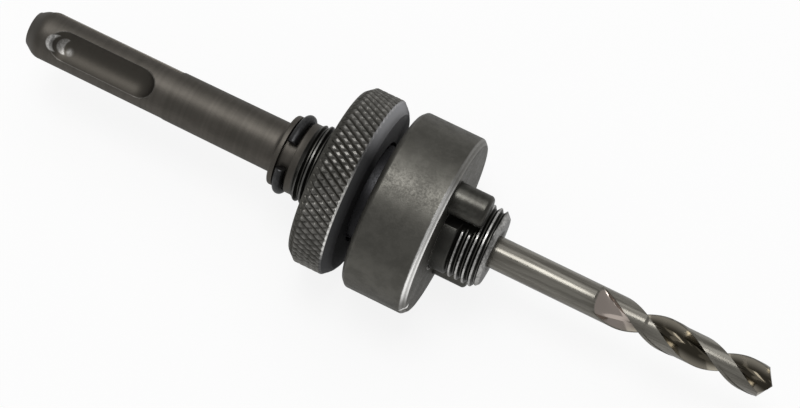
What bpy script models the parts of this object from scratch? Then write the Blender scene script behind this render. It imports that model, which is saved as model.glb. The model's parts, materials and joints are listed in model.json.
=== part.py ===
"""Hole saw arbor with a grooved hammer-drill shank, a sliding pin collar and a pilot drill.

The arbor lies on the rims of its collar and lock nut, with its axis level along +X and the
drill pointing to +X. Every piece is modelled along the local Z of one axis empty: Z runs
towards the drill point, X is up, Y is the front (-Y of the world). Stations along the axis are
measured from the front face of the drive collar. A roll is an angle about the axis, from
straight up towards the front.
"""

import math

import bmesh
import bpy

MM = 0.001

# Clearance between pieces that touch or slide on each other
GAP = 0.3 * MM

# Arbor body
THREAD_RADIUS = 7.94 * MM
THREAD_END_CHAMFER = 0.9 * MM
NOSE_CHAMFER = 1.1 * MM
NOSE_FULL_LENGTH = 3.6 * MM
FLAT_DEPTH = 0.69 * MM
RELIEF_DEPTH = 0.69 * MM
RELIEF_LENGTH = 1.4 * MM
FLANGE_RADIUS = 7.15 * MM
FLANGE_THICKNESS = 1.15 * MM
FLANGE_ROUND = 0.9 * MM
NECK_FILLET = 1.1 * MM
NECK_RADIUS = 5.1 * MM
MOUTH_WIDENING = 0.9 * MM
BORE_POINT_ANGLE = 118.0

# Shank
SHANK_RADIUS = 5.0 * MM
SHANK_LENGTH = 54.35 * MM
SHANK_TIP_RADIUS = 3.45 * MM
SHANK_TIP_LENGTH = 2.3 * MM
LOCK_GROOVE_ROLL = 24.0
LOCK_GROOVE_BALL = 4.2 * MM
LOCK_GROOVE_DEPTH = 2.2 * MM
LOCK_GROOVE_LENGTH = 22.6 * MM
LOCK_GROOVE_FROM_END = 5.2 * MM
LEAD_DIMPLE_BALL = 3.2 * MM
LEAD_DIMPLE_DEPTH = 0.45 * MM
KEYWAY_LENGTH = 31.0 * MM
KEYWAY_FLOOR_WIDTH = 2.6 * MM
KEYWAY_MOUTH_WIDTH = 3.5 * MM
KEYWAY_DEPTH = 1.4 * MM
KEYWAY_RUN_OUT = 2.0 * MM

# Drive collar, its hub and its travel along the body
RIM_RADIUS = 18.25 * MM
COLLAR_THICKNESS = 13.35 * MM
COLLAR_CHAMFER = 1.15 * MM
COLLAR_TRAVEL_FORWARD = 6.0 * MM
COLLAR_TRAVEL_BACK = 4.65 * MM
FLAT_BORE_LENGTH = 8.0 * MM
HUB_WALL = 1.26 * MM
HUB_BORE_RELIEF = 0.1 * MM
HUB_ENGAGEMENT = 3.65 * MM
HUB_CHAMFER = 0.3 * MM

# Drive pins
PIN_RADIUS = 3.175 * MM
PIN_SEAT_DEPTH = 7.7 * MM
PIN_PROTRUSION = 6.85 * MM
PIN_CHAMFER = 0.5 * MM
PIN_THREAD_CLEARANCE = 0.785 * MM
PIN_ROLL = -13.0

# Lock nut
NUT_THICKNESS = 8.69 * MM
NUT_COLLAR_SPACE = 2.71 * MM
NUT_FRONT_BEVEL_LENGTH = 1.8 * MM
NUT_FRONT_BEVEL_DEPTH = 2.1 * MM
NUT_EDGE_LENGTH = 0.6 * MM
NUT_EDGE_DEPTH = 0.8 * MM
NUT_REAR_BEVEL_LENGTH = 1.5 * MM
NUT_REAR_BEVEL_DEPTH = 1.3 * MM
NUT_BORE_CHAMFER = 0.6 * MM
NUT_HUB_SPACE = 0.7 * MM
KNURL_DIAMONDS = 76
KNURL_ROWS = 4
KNURL_DEPTH = 0.38 * MM

# Wire rings
REAR_RING_WIRE_RADIUS = 1.0 * MM
REAR_RING_OUTER_RADIUS = 8.17 * MM
REAR_RING_OPENING = 42.0
REAR_RING_ROLL = 23.5
NUT_RING_WIRE_RADIUS = 0.45 * MM
NUT_RING_INSET = 1.85 * MM
NUT_RING_OPENING = 20.0

# Pilot drill
DRILL_RADIUS = 3.175 * MM
DRILL_EXPOSED_LENGTH = 56.7 * MM
DRILL_SEATED_LENGTH = 28.0 * MM
DRILL_BORE_EXTRA_DEPTH = 2.0 * MM
DRILL_END_CHAMFER = 0.5 * MM
FLUTED_LENGTH = 36.2 * MM
FLUTE_PITCH = 32.7 * MM
FLUTE_ROLL_AT_TIP = 88.0
FLUTE_RUN_OUT = 9.0 * MM
FLUTE_WEB_SHARE = 0.19
LAND_ANGLE = 73.0
LAND_CLEARANCE = 0.12 * MM
MARGIN_ANGLE = 14.0
POINT_HALF_ANGLE = 60.0
POINT_RELIEF = 0.35 * MM

# Set screw
SCREW_RADIUS = 2.5 * MM
SCREW_RECESS = 0.4 * MM
SCREW_POINT_LENGTH = 0.8 * MM
SCREW_SOCKET_RADIUS = 1.4 * MM
SCREW_SOCKET_DEPTH = 2.0 * MM
SCREW_FROM_COLLAR = 2.9 * MM
DRILL_FLAT_DEPTH = 0.5 * MM
DRILL_FLAT_MARGIN = 0.5 * MM

# Facets round each kind of piece
RIM_FACETS = KNURL_DIAMONDS // 2
BODY_FACETS = 64
PIN_FACETS = 32
BALL_FACETS = 24
RING_POINTS = 40
WIRE_BEVEL_RESOLUTION = 2

# Stations along the axis, worked out from the sizes above
COLLAR_FRONT = 0.0
COLLAR_REAR = COLLAR_FRONT - COLLAR_THICKNESS
NUT_FRONT = COLLAR_REAR - NUT_COLLAR_SPACE
NUT_REAR = NUT_FRONT - NUT_THICKNESS
HUB_END = NUT_FRONT - HUB_ENGAGEMENT
NUT_RING_STATION = NUT_FRONT - NUT_RING_INSET
FLAT_FRONT = COLLAR_FRONT + COLLAR_TRAVEL_FORWARD + GAP
FLAT_REAR = COLLAR_FRONT - FLAT_BORE_LENGTH - COLLAR_TRAVEL_BACK - GAP
NOSE_FACE = FLAT_FRONT + NOSE_FULL_LENGTH
THREAD_REAR = NUT_REAR - COLLAR_TRAVEL_BACK - GAP
RING_GROOVE_FRONT = THREAD_REAR - RELIEF_LENGTH
RING_GROOVE_REAR = RING_GROOVE_FRONT - 2 * (REAR_RING_WIRE_RADIUS + GAP)
REAR_RING_STATION = (RING_GROOVE_FRONT + RING_GROOVE_REAR) / 2
FLANGE_REAR = RING_GROOVE_REAR - FLANGE_THICKNESS
REAR_END = FLANGE_REAR - SHANK_LENGTH
KEYWAY_END = REAR_END + KEYWAY_LENGTH
DRILL_TIP = NOSE_FACE + DRILL_EXPOSED_LENGTH
DRILL_REAR = NOSE_FACE - DRILL_SEATED_LENGTH
DRILL_BORE_END = DRILL_REAR - DRILL_BORE_EXTRA_DEPTH
FLUTE_START = DRILL_TIP - FLUTED_LENGTH
SCREW_STATION = COLLAR_FRONT + SCREW_FROM_COLLAR

# Radii worked out from the sizes above
FLAT_HALF_WIDTH = THREAD_RADIUS - FLAT_DEPTH
DRILL_BORE_RADIUS = DRILL_RADIUS + GAP
MOUTH_RADIUS = DRILL_BORE_RADIUS + MOUTH_WIDENING
RELIEF_RADIUS = THREAD_RADIUS - RELIEF_DEPTH
REAR_RING_CENTRE_RADIUS = REAR_RING_OUTER_RADIUS - REAR_RING_WIRE_RADIUS
RING_GROOVE_RADIUS = REAR_RING_CENTRE_RADIUS - REAR_RING_WIRE_RADIUS - GAP
COLLAR_FLAT_BORE_RADIUS = THREAD_RADIUS + GAP
COLLAR_FLAT_BORE_HALF_WIDTH = FLAT_HALF_WIDTH + GAP
HUB_BORE_RADIUS = COLLAR_FLAT_BORE_RADIUS + HUB_BORE_RELIEF
HUB_RADIUS = HUB_BORE_RADIUS + HUB_WALL
NUT_BORE_RADIUS = THREAD_RADIUS + GAP
NUT_COUNTERBORE_RADIUS = HUB_RADIUS + NUT_HUB_SPACE
NUT_COUNTERBORE_DEPTH = HUB_ENGAGEMENT + GAP
NUT_RING_CENTRE_RADIUS = HUB_RADIUS + NUT_HUB_SPACE / 2
NUT_RING_REACH = NUT_RING_WIRE_RADIUS + GAP
PIN_CIRCLE_RADIUS = THREAD_RADIUS + PIN_THREAD_CLEARANCE + PIN_RADIUS
SCREW_ROLL = PIN_ROLL - 90.0
DRILL_FLAT_DISTANCE = DRILL_RADIUS - DRILL_FLAT_DEPTH
SCREW_OUTER_END = THREAD_RADIUS - SCREW_RECESS
SCREW_INNER_END = DRILL_FLAT_DISTANCE + GAP

# The rims carry the arbor on a flat facet, and the origin is under the middle of its length
AXIS_HEIGHT = RIM_RADIUS * math.cos(math.pi / RIM_FACETS)
AXIS_ORIGIN_X = -(DRILL_TIP + REAR_END) / 2

# How far a cutter stands clear of the surface that it enters
CUTTER_MARGIN = 2.0 * MM


def new_collection(name):
    """Adds a collection to the scene."""
    collection = bpy.data.collections.new(name)
    bpy.context.scene.collection.children.link(collection)
    return collection


def metal(name, colour, roughness, metallic=1.0):
    """A Principled material for a bare or coated metal."""
    material = bpy.data.materials.new(name)
    material.use_nodes = True
    shader = material.node_tree.nodes["Principled BSDF"]
    shader.inputs["Base Color"].default_value = (*colour, 1.0)
    shader.inputs["Roughness"].default_value = roughness
    shader.inputs["Metallic"].default_value = metallic
    material.diffuse_color = (*colour, 1.0)
    return material


def add_object(name, data, collection, parent=None):
    """Links an object for a mesh, a curve or, with no data, an empty."""
    item = bpy.data.objects.new(name, data)
    collection.objects.link(item)
    item.parent = parent
    return item


def add_cutter(name, mesh, collection, parent=None):
    """Links a cutter, which shows as wire and isn't rendered."""
    item = add_object(name, mesh, collection, parent)
    item.display_type = "WIRE"
    item.hide_render = True
    return item


def baked_mesh(item):
    """The mesh of an object with its modifiers worked in."""
    bpy.context.view_layer.update()
    evaluated = item.evaluated_get(bpy.context.evaluated_depsgraph_get())
    return bpy.data.meshes.new_from_object(evaluated)


def polar(radius, degrees):
    """X and Y of a point at a radius and an angle."""
    angle = math.radians(degrees)
    return radius * math.cos(angle), radius * math.sin(angle)


def arc(centre_radius, centre_station, radius, start, end, steps):
    """Points of an arc in a half section, at angles from the outward direction."""
    points = []
    for index in range(steps + 1):
        across, along = polar(radius, start + (end - start) * index / steps)
        points.append((centre_radius + across, centre_station + along))
    return points


def turned_mesh(name, outline, facets, first_facet=0.5):
    """Turns a half section about Z with a Screw modifier.

    The outline holds (radius, station) points that run down the outer side. It is a closed
    loop, unless it starts and ends on the axis. It starts at a share of a facet from X.
    """
    start = first_facet * 360.0 / facets
    mesh = bpy.data.meshes.new(name)
    points = [(*polar(radius, start), station) for radius, station in outline]
    edges = [(index, index + 1) for index in range(len(points) - 1)]
    if outline[0][0] > 0.0:
        edges.append((len(points) - 1, 0))
    mesh.from_pydata(points, edges, [])
    blank = bpy.data.objects.new(name, mesh)
    bpy.context.scene.collection.objects.link(blank)
    screw = blank.modifiers.new("Turn", "SCREW")
    screw.axis = "Z"
    screw.steps = facets
    screw.render_steps = facets
    screw.use_merge_vertices = True
    screw.merge_threshold = 0.000001
    turned = baked_mesh(blank)
    bpy.data.objects.remove(blank)
    bpy.data.meshes.remove(mesh)
    turned.name = name
    return turned


def extruded_mesh(name, outline, low, high):
    """Extrudes a flat closed outline of (x, y) points from one station to another."""
    curve = bpy.data.curves.new(name, "CURVE")
    curve.dimensions = "2D"
    curve.fill_mode = "BOTH"
    curve.extrude = (high - low) / 2
    spline = curve.splines.new("POLY")
    spline.points.add(len(outline) - 1)
    for point, (x, y) in zip(spline.points, outline):
        point.co = (x, y, 0.0, 1.0)
    spline.use_cyclic_u = True
    blank = bpy.data.objects.new(name, curve)
    bpy.context.scene.collection.objects.link(blank)
    mesh = baked_mesh(blank)
    bpy.data.objects.remove(blank)
    bpy.data.curves.remove(curve)
    solid = bmesh.new()
    solid.from_mesh(mesh)
    bmesh.ops.remove_doubles(solid, verts=solid.verts, dist=0.000001)
    bmesh.ops.translate(solid, verts=solid.verts, vec=(0.0, 0.0, (low + high) / 2))
    solid.to_mesh(mesh)
    solid.free()
    return mesh


def cylinder_mesh(name, radius, low, high, facets):
    """A plain cylinder along Z."""
    mesh = bpy.data.meshes.new(name)
    solid = bmesh.new()
    bmesh.ops.create_cone(
        solid, cap_ends=True, segments=facets, radius1=radius, radius2=radius, depth=high - low
    )
    bmesh.ops.translate(solid, verts=solid.verts, vec=(0.0, 0.0, (low + high) / 2))
    solid.to_mesh(mesh)
    solid.free()
    return mesh


def block_mesh(name, low, high):
    """A box between two corners."""
    mesh = bpy.data.meshes.new(name)
    solid = bmesh.new()
    bmesh.ops.create_cube(solid, size=1.0)
    size = [top - bottom for bottom, top in zip(low, high)]
    middle = [(top + bottom) / 2 for bottom, top in zip(low, high)]
    bmesh.ops.scale(solid, verts=solid.verts, vec=size)
    bmesh.ops.translate(solid, verts=solid.verts, vec=middle)
    solid.to_mesh(mesh)
    solid.free()
    return mesh


def cut(item, cutters):
    """Cuts an object with others, in turn."""
    for cutter in cutters:
        boolean = item.modifiers.new(cutter.name, "BOOLEAN")
        boolean.operation = "DIFFERENCE"
        boolean.solver = "EXACT"
        boolean.object = cutter


def dress(item, material):
    """Works the modifiers in, shades round faces smooth and puts the material on."""
    if item.modifiers:
        item.data = baked_mesh(item)
        item.modifiers.clear()
    item.data.name = item.name
    item.data.shade_smooth()
    item.data.set_sharp_from_angle(angle=math.radians(30.0))
    item.data.materials.clear()
    item.data.materials.append(material)


def body_outline():
    """Half section of the arbor body, from the bottom of its bore round to its rear end."""
    bore_point = DRILL_BORE_RADIUS / math.tan(math.radians(BORE_POINT_ANGLE / 2))
    outline = [
        (0.0, DRILL_BORE_END - bore_point),
        (DRILL_BORE_RADIUS, DRILL_BORE_END),
        (DRILL_BORE_RADIUS, NOSE_FACE - MOUTH_WIDENING),
        (MOUTH_RADIUS, NOSE_FACE),
        (THREAD_RADIUS - NOSE_CHAMFER, NOSE_FACE),
        (THREAD_RADIUS, NOSE_FACE - NOSE_CHAMFER),
        (THREAD_RADIUS, THREAD_REAR + THREAD_END_CHAMFER),
        (RELIEF_RADIUS, THREAD_REAR),
        (RELIEF_RADIUS, RING_GROOVE_FRONT),
        (RING_GROOVE_RADIUS, RING_GROOVE_FRONT),
        (RING_GROOVE_RADIUS, RING_GROOVE_REAR),
        (FLANGE_RADIUS, RING_GROOVE_REAR),
    ]
    flange_round = (FLANGE_RADIUS - FLANGE_ROUND, FLANGE_REAR + FLANGE_ROUND, FLANGE_ROUND)
    outline += arc(*flange_round, 0.0, -90.0, 4)
    neck_fillet = (NECK_RADIUS + NECK_FILLET, FLANGE_REAR - NECK_FILLET, NECK_FILLET)
    outline += arc(*neck_fillet, 90.0, 180.0, 4)
    outline += [
        (SHANK_RADIUS, KEYWAY_END),
        (SHANK_RADIUS, REAR_END + SHANK_TIP_LENGTH),
        (SHANK_TIP_RADIUS, REAR_END),
        (0.0, REAR_END),
    ]
    return outline


def capsule_outline(ball, low, high):
    """Half section of a rod with round ends, between the ends' stations."""
    steps = BALL_FACETS // 4
    upper = arc(0.0, high - ball, ball, 90.0, 0.0, steps)
    lower = arc(0.0, low + ball, ball, 0.0, -90.0, steps)
    outline = upper + lower
    outline[0] = (0.0, high)
    outline[-1] = (0.0, low)
    return outline


def lock_groove_cutter(name, roll, collection, parent):
    """A round-ended rod that cuts one closed locking groove at its length on the surface."""
    distance = SHANK_RADIUS - LOCK_GROOVE_DEPTH + LOCK_GROOVE_BALL
    reach = math.sqrt(LOCK_GROOVE_BALL**2 - (distance - SHANK_RADIUS) ** 2)
    low = REAR_END + LOCK_GROOVE_FROM_END + reach - LOCK_GROOVE_BALL
    high = REAR_END + LOCK_GROOVE_FROM_END + LOCK_GROOVE_LENGTH - reach + LOCK_GROOVE_BALL
    outline = capsule_outline(LOCK_GROOVE_BALL, low, high)
    cutter = add_cutter(name, turned_mesh(name, outline, BALL_FACETS), collection, parent)
    cutter.location = (*polar(distance, roll), 0.0)
    cutter.rotation_euler = (0.0, 0.0, math.radians(roll))
    return cutter


def lead_dimple_cutter(name, roll, collection, parent):
    """A ball that dishes the shank just behind the rear end of a locking groove."""
    distance = SHANK_RADIUS - LEAD_DIMPLE_DEPTH + LEAD_DIMPLE_BALL
    reach = math.sqrt(LEAD_DIMPLE_BALL**2 - (distance - SHANK_RADIUS) ** 2)
    station = REAR_END + LOCK_GROOVE_FROM_END - LEAD_DIMPLE_DEPTH + reach
    outline = capsule_outline(LEAD_DIMPLE_BALL, station - LEAD_DIMPLE_BALL, station + LEAD_DIMPLE_BALL)
    cutter = add_cutter(name, turned_mesh(name, outline, BALL_FACETS), collection, parent)
    cutter.location = (*polar(distance, roll), 0.0)
    cutter.rotation_euler = (0.0, 0.0, math.radians(roll))
    return cutter


def keyway_cutter(name, roll, collection, parent):
    """A tapered bar that mills one open keyway from the rear end, with a sloped run-out."""
    floor = SHANK_RADIUS - KEYWAY_DEPTH
    top = SHANK_RADIUS + CUTTER_MARGIN
    low = (floor, -KEYWAY_FLOOR_WIDTH / 2, REAR_END - CUTTER_MARGIN)
    high = (top, KEYWAY_FLOOR_WIDTH / 2, KEYWAY_END)
    mesh = block_mesh(name, low, high)
    flare = (KEYWAY_MOUTH_WIDTH - KEYWAY_FLOOR_WIDTH) / (2 * KEYWAY_DEPTH)
    for vertex in mesh.vertices:
        if vertex.co.x > SHANK_RADIUS:
            vertex.co.y += math.copysign(flare * (top - floor), vertex.co.y)
        elif vertex.co.z > REAR_END:
            vertex.co.z -= KEYWAY_RUN_OUT
    cutter = add_cutter(name, mesh, collection, parent)
    cutter.rotation_euler = (0.0, 0.0, math.radians(roll))
    return cutter


def body_flat_cutter(name, roll, collection, parent):
    """A block that mills one of the two flats on which the collar slides."""
    side = THREAD_RADIUS + CUTTER_MARGIN
    mesh = block_mesh(name, (FLAT_HALF_WIDTH, -side, FLAT_REAR), (side, side, FLAT_FRONT))
    cutter = add_cutter(name, mesh, collection, parent)
    cutter.rotation_euler = (0.0, 0.0, math.radians(roll))
    return cutter


def screw_hole_cutter(collection, parent):
    """The radial tapped hole for the set screw, from outside into the drill bore."""
    mesh = cylinder_mesh(
        "screw_hole", SCREW_RADIUS + GAP, 0.0, THREAD_RADIUS + CUTTER_MARGIN, PIN_FACETS
    )
    cutter = add_cutter("screw_hole", mesh, collection, parent)
    place_across(cutter, SCREW_STATION, SCREW_ROLL)
    return cutter


def place_across(item, station, roll):
    """Turns an object's Z outwards from the axis, at a station and a roll."""
    item.location = (0.0, 0.0, station)
    item.rotation_euler = (0.0, math.radians(90.0), math.radians(roll))


def make_arbor_body(parts, cutters, axis):
    """Body with shank grooves, keyways, flats and the set screw's hole."""
    body = add_object("arbor_body", turned_mesh("arbor_body", body_outline(), BODY_FACETS), parts, axis)
    tools = []
    for index, turn in enumerate((0.0, 180.0), start=1):
        groove_roll = LOCK_GROOVE_ROLL + turn
        tools.append(lock_groove_cutter(f"lock_groove_{index}", groove_roll, cutters, axis))
        tools.append(lead_dimple_cutter(f"lead_dimple_{index}", groove_roll, cutters, axis))
        tools.append(keyway_cutter(f"keyway_{index}", groove_roll + 90.0, cutters, axis))
        tools.append(body_flat_cutter(f"body_flat_{index}", PIN_ROLL + turn, cutters, axis))
    tools.append(screw_hole_cutter(cutters, axis))
    cut(body, tools)
    dress(body, metal("black_oxide_steel", (0.10, 0.095, 0.09), 0.38))


def wire_ring_mesh(name, centre_radius, wire_radius, opening, roll, station):
    """An open ring of round wire, with its opening at a roll."""
    curve = bpy.data.curves.new(name, "CURVE")
    curve.dimensions = "3D"
    curve.bevel_depth = wire_radius
    curve.bevel_resolution = WIRE_BEVEL_RESOLUTION
    curve.use_fill_caps = True
    spline = curve.splines.new("POLY")
    spline.points.add(RING_POINTS - 1)
    for index, point in enumerate(spline.points):
        turn = opening / 2 + (360.0 - opening) * index / (RING_POINTS - 1)
        point.co = (*polar(centre_radius, roll + turn), station, 1.0)
    blank = bpy.data.objects.new(name, curve)
    bpy.context.scene.collection.objects.link(blank)
    mesh = baked_mesh(blank)
    bpy.data.objects.remove(blank)
    bpy.data.curves.remove(curve)
    solid = bmesh.new()
    solid.from_mesh(mesh)
    bmesh.ops.remove_doubles(solid, verts=solid.verts, dist=0.000001)
    solid.to_mesh(mesh)
    solid.free()
    return mesh


def make_rear_snap_ring(parts, axis):
    """Open wire ring in the groove behind the thread."""
    mesh = wire_ring_mesh(
        "rear_snap_ring",
        REAR_RING_CENTRE_RADIUS,
        REAR_RING_WIRE_RADIUS,
        REAR_RING_OPENING,
        REAR_RING_ROLL,
        REAR_RING_STATION,
    )
    ring = add_object("rear_snap_ring", mesh, parts, axis)
    dress(ring, metal("ring_wire_steel", (0.12, 0.12, 0.12), 0.34))


def make_nut_snap_ring(parts, collar_travel):
    """Thin wire ring between hub and nut, seated in a groove of each."""
    mesh = wire_ring_mesh(
        "nut_snap_ring",
        NUT_RING_CENTRE_RADIUS,
        NUT_RING_WIRE_RADIUS,
        NUT_RING_OPENING,
        SCREW_ROLL,
        NUT_RING_STATION,
    )
    ring = add_object("nut_snap_ring", mesh, parts, collar_travel)
    dress(ring, metal("thin_wire_steel", (0.55, 0.54, 0.52), 0.25))


def collar_outline():
    """Half section of the drive collar with its hub, before the flat-sided bore is cut."""
    blank_bore = COLLAR_FLAT_BORE_HALF_WIDTH - GAP
    ring_groove_floor = NUT_RING_CENTRE_RADIUS - NUT_RING_REACH
    return [
        (blank_bore, COLLAR_FRONT),
        (RIM_RADIUS - COLLAR_CHAMFER, COLLAR_FRONT),
        (RIM_RADIUS, COLLAR_FRONT - COLLAR_CHAMFER),
        (RIM_RADIUS, COLLAR_REAR + COLLAR_CHAMFER),
        (RIM_RADIUS - COLLAR_CHAMFER, COLLAR_REAR),
        (HUB_RADIUS, COLLAR_REAR),
        (HUB_RADIUS, NUT_RING_STATION + NUT_RING_REACH),
        (ring_groove_floor, NUT_RING_STATION + NUT_RING_REACH),
        (ring_groove_floor, NUT_RING_STATION - NUT_RING_REACH),
        (HUB_RADIUS, NUT_RING_STATION - NUT_RING_REACH),
        (HUB_RADIUS, HUB_END + HUB_CHAMFER),
        (HUB_RADIUS - HUB_CHAMFER, HUB_END),
        (HUB_BORE_RADIUS, HUB_END),
        (HUB_BORE_RADIUS, COLLAR_FRONT - FLAT_BORE_LENGTH),
        (blank_bore, COLLAR_FRONT - FLAT_BORE_LENGTH),
    ]


def flat_bore_outline():
    """Cross-section of the collar's bore: round, with two flats that face the drive pins."""
    corner = math.degrees(math.acos(COLLAR_FLAT_BORE_HALF_WIDTH / COLLAR_FLAT_BORE_RADIUS))
    sweep = 180.0 - 2 * corner
    steps = round(BODY_FACETS * sweep / 360.0)
    outline = []
    for side in (0.0, 180.0):
        for index in range(steps + 1):
            turn = PIN_ROLL + side + corner + sweep * index / steps
            outline.append(polar(COLLAR_FLAT_BORE_RADIUS, turn))
    return outline


def pin_positions():
    """The two places on the pin circle, opposite each other."""
    return [polar(PIN_CIRCLE_RADIUS, PIN_ROLL + turn) for turn in (0.0, 180.0)]


def make_drive_collar(parts, cutters, collar_travel):
    """Collar with its hub, flat-sided bore and two blind holes for the pins."""
    mesh = turned_mesh("drive_collar", collar_outline(), RIM_FACETS)
    collar = add_object("drive_collar", mesh, parts, collar_travel)
    low = COLLAR_FRONT - FLAT_BORE_LENGTH - CUTTER_MARGIN
    high = COLLAR_FRONT + CUTTER_MARGIN
    bore = extruded_mesh("flat_bore", flat_bore_outline(), low, high)
    tools = [add_cutter("flat_bore", bore, cutters, collar_travel)]
    for index, (x, y) in enumerate(pin_positions(), start=1):
        name = f"pin_hole_{index}"
        mesh = cylinder_mesh(
            name, PIN_RADIUS + GAP, COLLAR_FRONT - PIN_SEAT_DEPTH - GAP, high, PIN_FACETS
        )
        hole = add_cutter(name, mesh, cutters, collar_travel)
        hole.location = (x, y, 0.0)
        tools.append(hole)
    cut(collar, tools)
    dress(collar, metal("phosphated_steel", (0.27, 0.25, 0.23), 0.42))


def make_drive_pins(parts, collar_travel):
    """Two hardened pins, seated in the collar and standing out in front of it."""
    top = COLLAR_FRONT + PIN_PROTRUSION
    bottom = COLLAR_FRONT - PIN_SEAT_DEPTH
    outline = [
        (0.0, top),
        (PIN_RADIUS - PIN_CHAMFER, top),
        (PIN_RADIUS, top - PIN_CHAMFER),
        (PIN_RADIUS, bottom + PIN_CHAMFER),
        (PIN_RADIUS - PIN_CHAMFER, bottom),
        (0.0, bottom),
    ]
    steel = metal("hardened_pin_steel", (0.20, 0.19, 0.18), 0.25)
    for index, (x, y) in enumerate(pin_positions(), start=1):
        name = f"drive_pin_{index}"
        pin = add_object(name, turned_mesh(name, outline, PIN_FACETS), parts, collar_travel)
        pin.location = (x, y, 0.0)
        dress(pin, steel)


def knurl_stations():
    """Stations of the knurl's rows, from the front bevel to the rear bevel."""
    front = NUT_FRONT - NUT_FRONT_BEVEL_LENGTH
    rear = NUT_REAR + NUT_REAR_BEVEL_LENGTH
    return [front + (rear - front) * row / KNURL_ROWS for row in range(KNURL_ROWS + 1)]


def nut_blank_outline():
    """Half section of the solid nut blank, with a point on each row of the knurl.

    In front of the knurl a narrow edge chamfer meets a steeper bevel.
    """
    edge_end = NUT_FRONT - NUT_FRONT_BEVEL_LENGTH + NUT_EDGE_LENGTH
    outline = [(0.0, NUT_FRONT), (RIM_RADIUS - NUT_FRONT_BEVEL_DEPTH, NUT_FRONT)]
    outline += [(RIM_RADIUS - NUT_EDGE_DEPTH, edge_end)]
    outline += [(RIM_RADIUS, station) for station in knurl_stations()]
    outline += [(RIM_RADIUS - NUT_REAR_BEVEL_DEPTH, NUT_REAR), (0.0, NUT_REAR)]
    return outline


def knurled_mesh():
    """Nut blank whose rows rise to diamond points and sink where two grooves cross.

    Two families of slanting grooves cross at every other point of each row. Each square of
    the lattice is split along the groove that runs through it. The points lie on the same
    flats as the collar's rim, four columns to a flat, so that both rims carry the arbor.
    """
    columns = 2 * KNURL_DIAMONDS
    columns_per_flat = columns // RIM_FACETS
    mesh = turned_mesh("lock_nut", nut_blank_outline(), columns, first_facet=0.0)
    stations = knurl_stations()
    row_height = stations[0] - stations[1]
    blank = bmesh.new()
    blank.from_mesh(mesh)
    knurl = []
    for vertex in blank.verts:
        row = (stations[0] - vertex.co.z) / row_height
        if round(row) in range(KNURL_ROWS + 1) and abs(row - round(row)) < 0.01:
            knurl.append(vertex)
            column = round(math.atan2(vertex.co.y, vertex.co.x) / math.tau * columns)
            from_corner = (column + columns_per_flat // 2) % columns_per_flat
            off_middle = (from_corner - columns_per_flat / 2) * math.tau / columns
            radius = AXIS_HEIGHT / math.cos(off_middle)
            if round(row) == 0 or (round(row) + column) % 2 == 0:
                radius -= KNURL_DEPTH
            vertex.co.x *= radius / RIM_RADIUS
            vertex.co.y *= radius / RIM_RADIUS
    band = [face for face in blank.faces if all(vertex in knurl for vertex in face.verts)]
    bmesh.ops.triangulate(blank, faces=band, quad_method="SHORT_EDGE")
    blank.to_mesh(mesh)
    blank.free()
    return mesh


def nut_bore_outline():
    """Half section of the nut's bore: threaded length, ring groove and counterbore."""
    floor = NUT_FRONT - NUT_COUNTERBORE_DEPTH
    ring_groove = NUT_RING_CENTRE_RADIUS + NUT_RING_REACH
    mouth = NUT_BORE_RADIUS + NUT_BORE_CHAMFER
    return [
        (0.0, NUT_FRONT + CUTTER_MARGIN),
        (NUT_COUNTERBORE_RADIUS, NUT_FRONT + CUTTER_MARGIN),
        (NUT_COUNTERBORE_RADIUS, NUT_RING_STATION + NUT_RING_REACH),
        (ring_groove, NUT_RING_STATION + NUT_RING_REACH),
        (ring_groove, NUT_RING_STATION - NUT_RING_REACH),
        (NUT_COUNTERBORE_RADIUS, NUT_RING_STATION - NUT_RING_REACH),
        (NUT_COUNTERBORE_RADIUS, floor),
        (NUT_BORE_RADIUS, floor),
        (NUT_BORE_RADIUS, NUT_REAR + NUT_BORE_CHAMFER),
        (mouth + CUTTER_MARGIN, NUT_REAR - CUTTER_MARGIN),
        (0.0, NUT_REAR - CUTTER_MARGIN),
    ]


def make_lock_nut(parts, cutters, nut_turn):
    """Diamond-knurled lock nut, bored for the thread and for the collar's hub."""
    nut = add_object("lock_nut", knurled_mesh(), parts, nut_turn)
    bore = add_cutter(
        "nut_bore", turned_mesh("nut_bore", nut_bore_outline(), BODY_FACETS), cutters, nut_turn
    )
    cut(nut, [bore])
    dress(nut, metal("knurled_steel", (0.33, 0.32, 0.30), 0.36))


def flute_share(turn):
    """Radius of the drill's cross-section, as a share of its own, at an angle from the heel.

    Each half turn holds one land and one flute. The flute is a round hollow that falls
    steeply behind the cutting corner and rises slowly to the next heel.
    """
    turn %= 180.0
    clearance = 1.0 - LAND_CLEARANCE / DRILL_RADIUS
    if turn <= LAND_ANGLE - MARGIN_ANGLE:
        return clearance
    if turn <= LAND_ANGLE:
        return 1.0
    flute_angle = 180.0 - LAND_ANGLE
    bottom = LAND_ANGLE + 0.4 * flute_angle
    half_width = 0.4 * flute_angle if turn < bottom else 0.6 * flute_angle
    lean = math.radians(48.0) * (turn - bottom) / half_width
    hollow = 0.8
    distance = FLUTE_WEB_SHARE + hollow
    depth = distance * math.cos(lean) - math.sqrt(hollow**2 - (distance * math.sin(lean)) ** 2)
    return min(depth, clearance)


def section_turns():
    """Angles of the points in the drill's cross-section: lands, margins and flutes."""
    land_steps = 5
    flute_steps = 9
    turns = []
    for half in (0.0, 180.0):
        land = LAND_ANGLE - MARGIN_ANGLE
        turns += [half + land * step / land_steps for step in range(land_steps + 1)]
        turns += [half + land + 1.0, half + LAND_ANGLE]
        flute_angle = 180.0 - LAND_ANGLE
        turns += [half + LAND_ANGLE + flute_angle * (step + 0.5) / flute_steps for step in range(flute_steps)]
    return turns


def drill_roll(station):
    """Roll of the cross-section's heel at a station, which turns with the flutes."""
    turning = max(station, FLUTE_START)
    return FLUTE_ROLL_AT_TIP + 360.0 * (turning - DRILL_TIP) / FLUTE_PITCH


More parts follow.
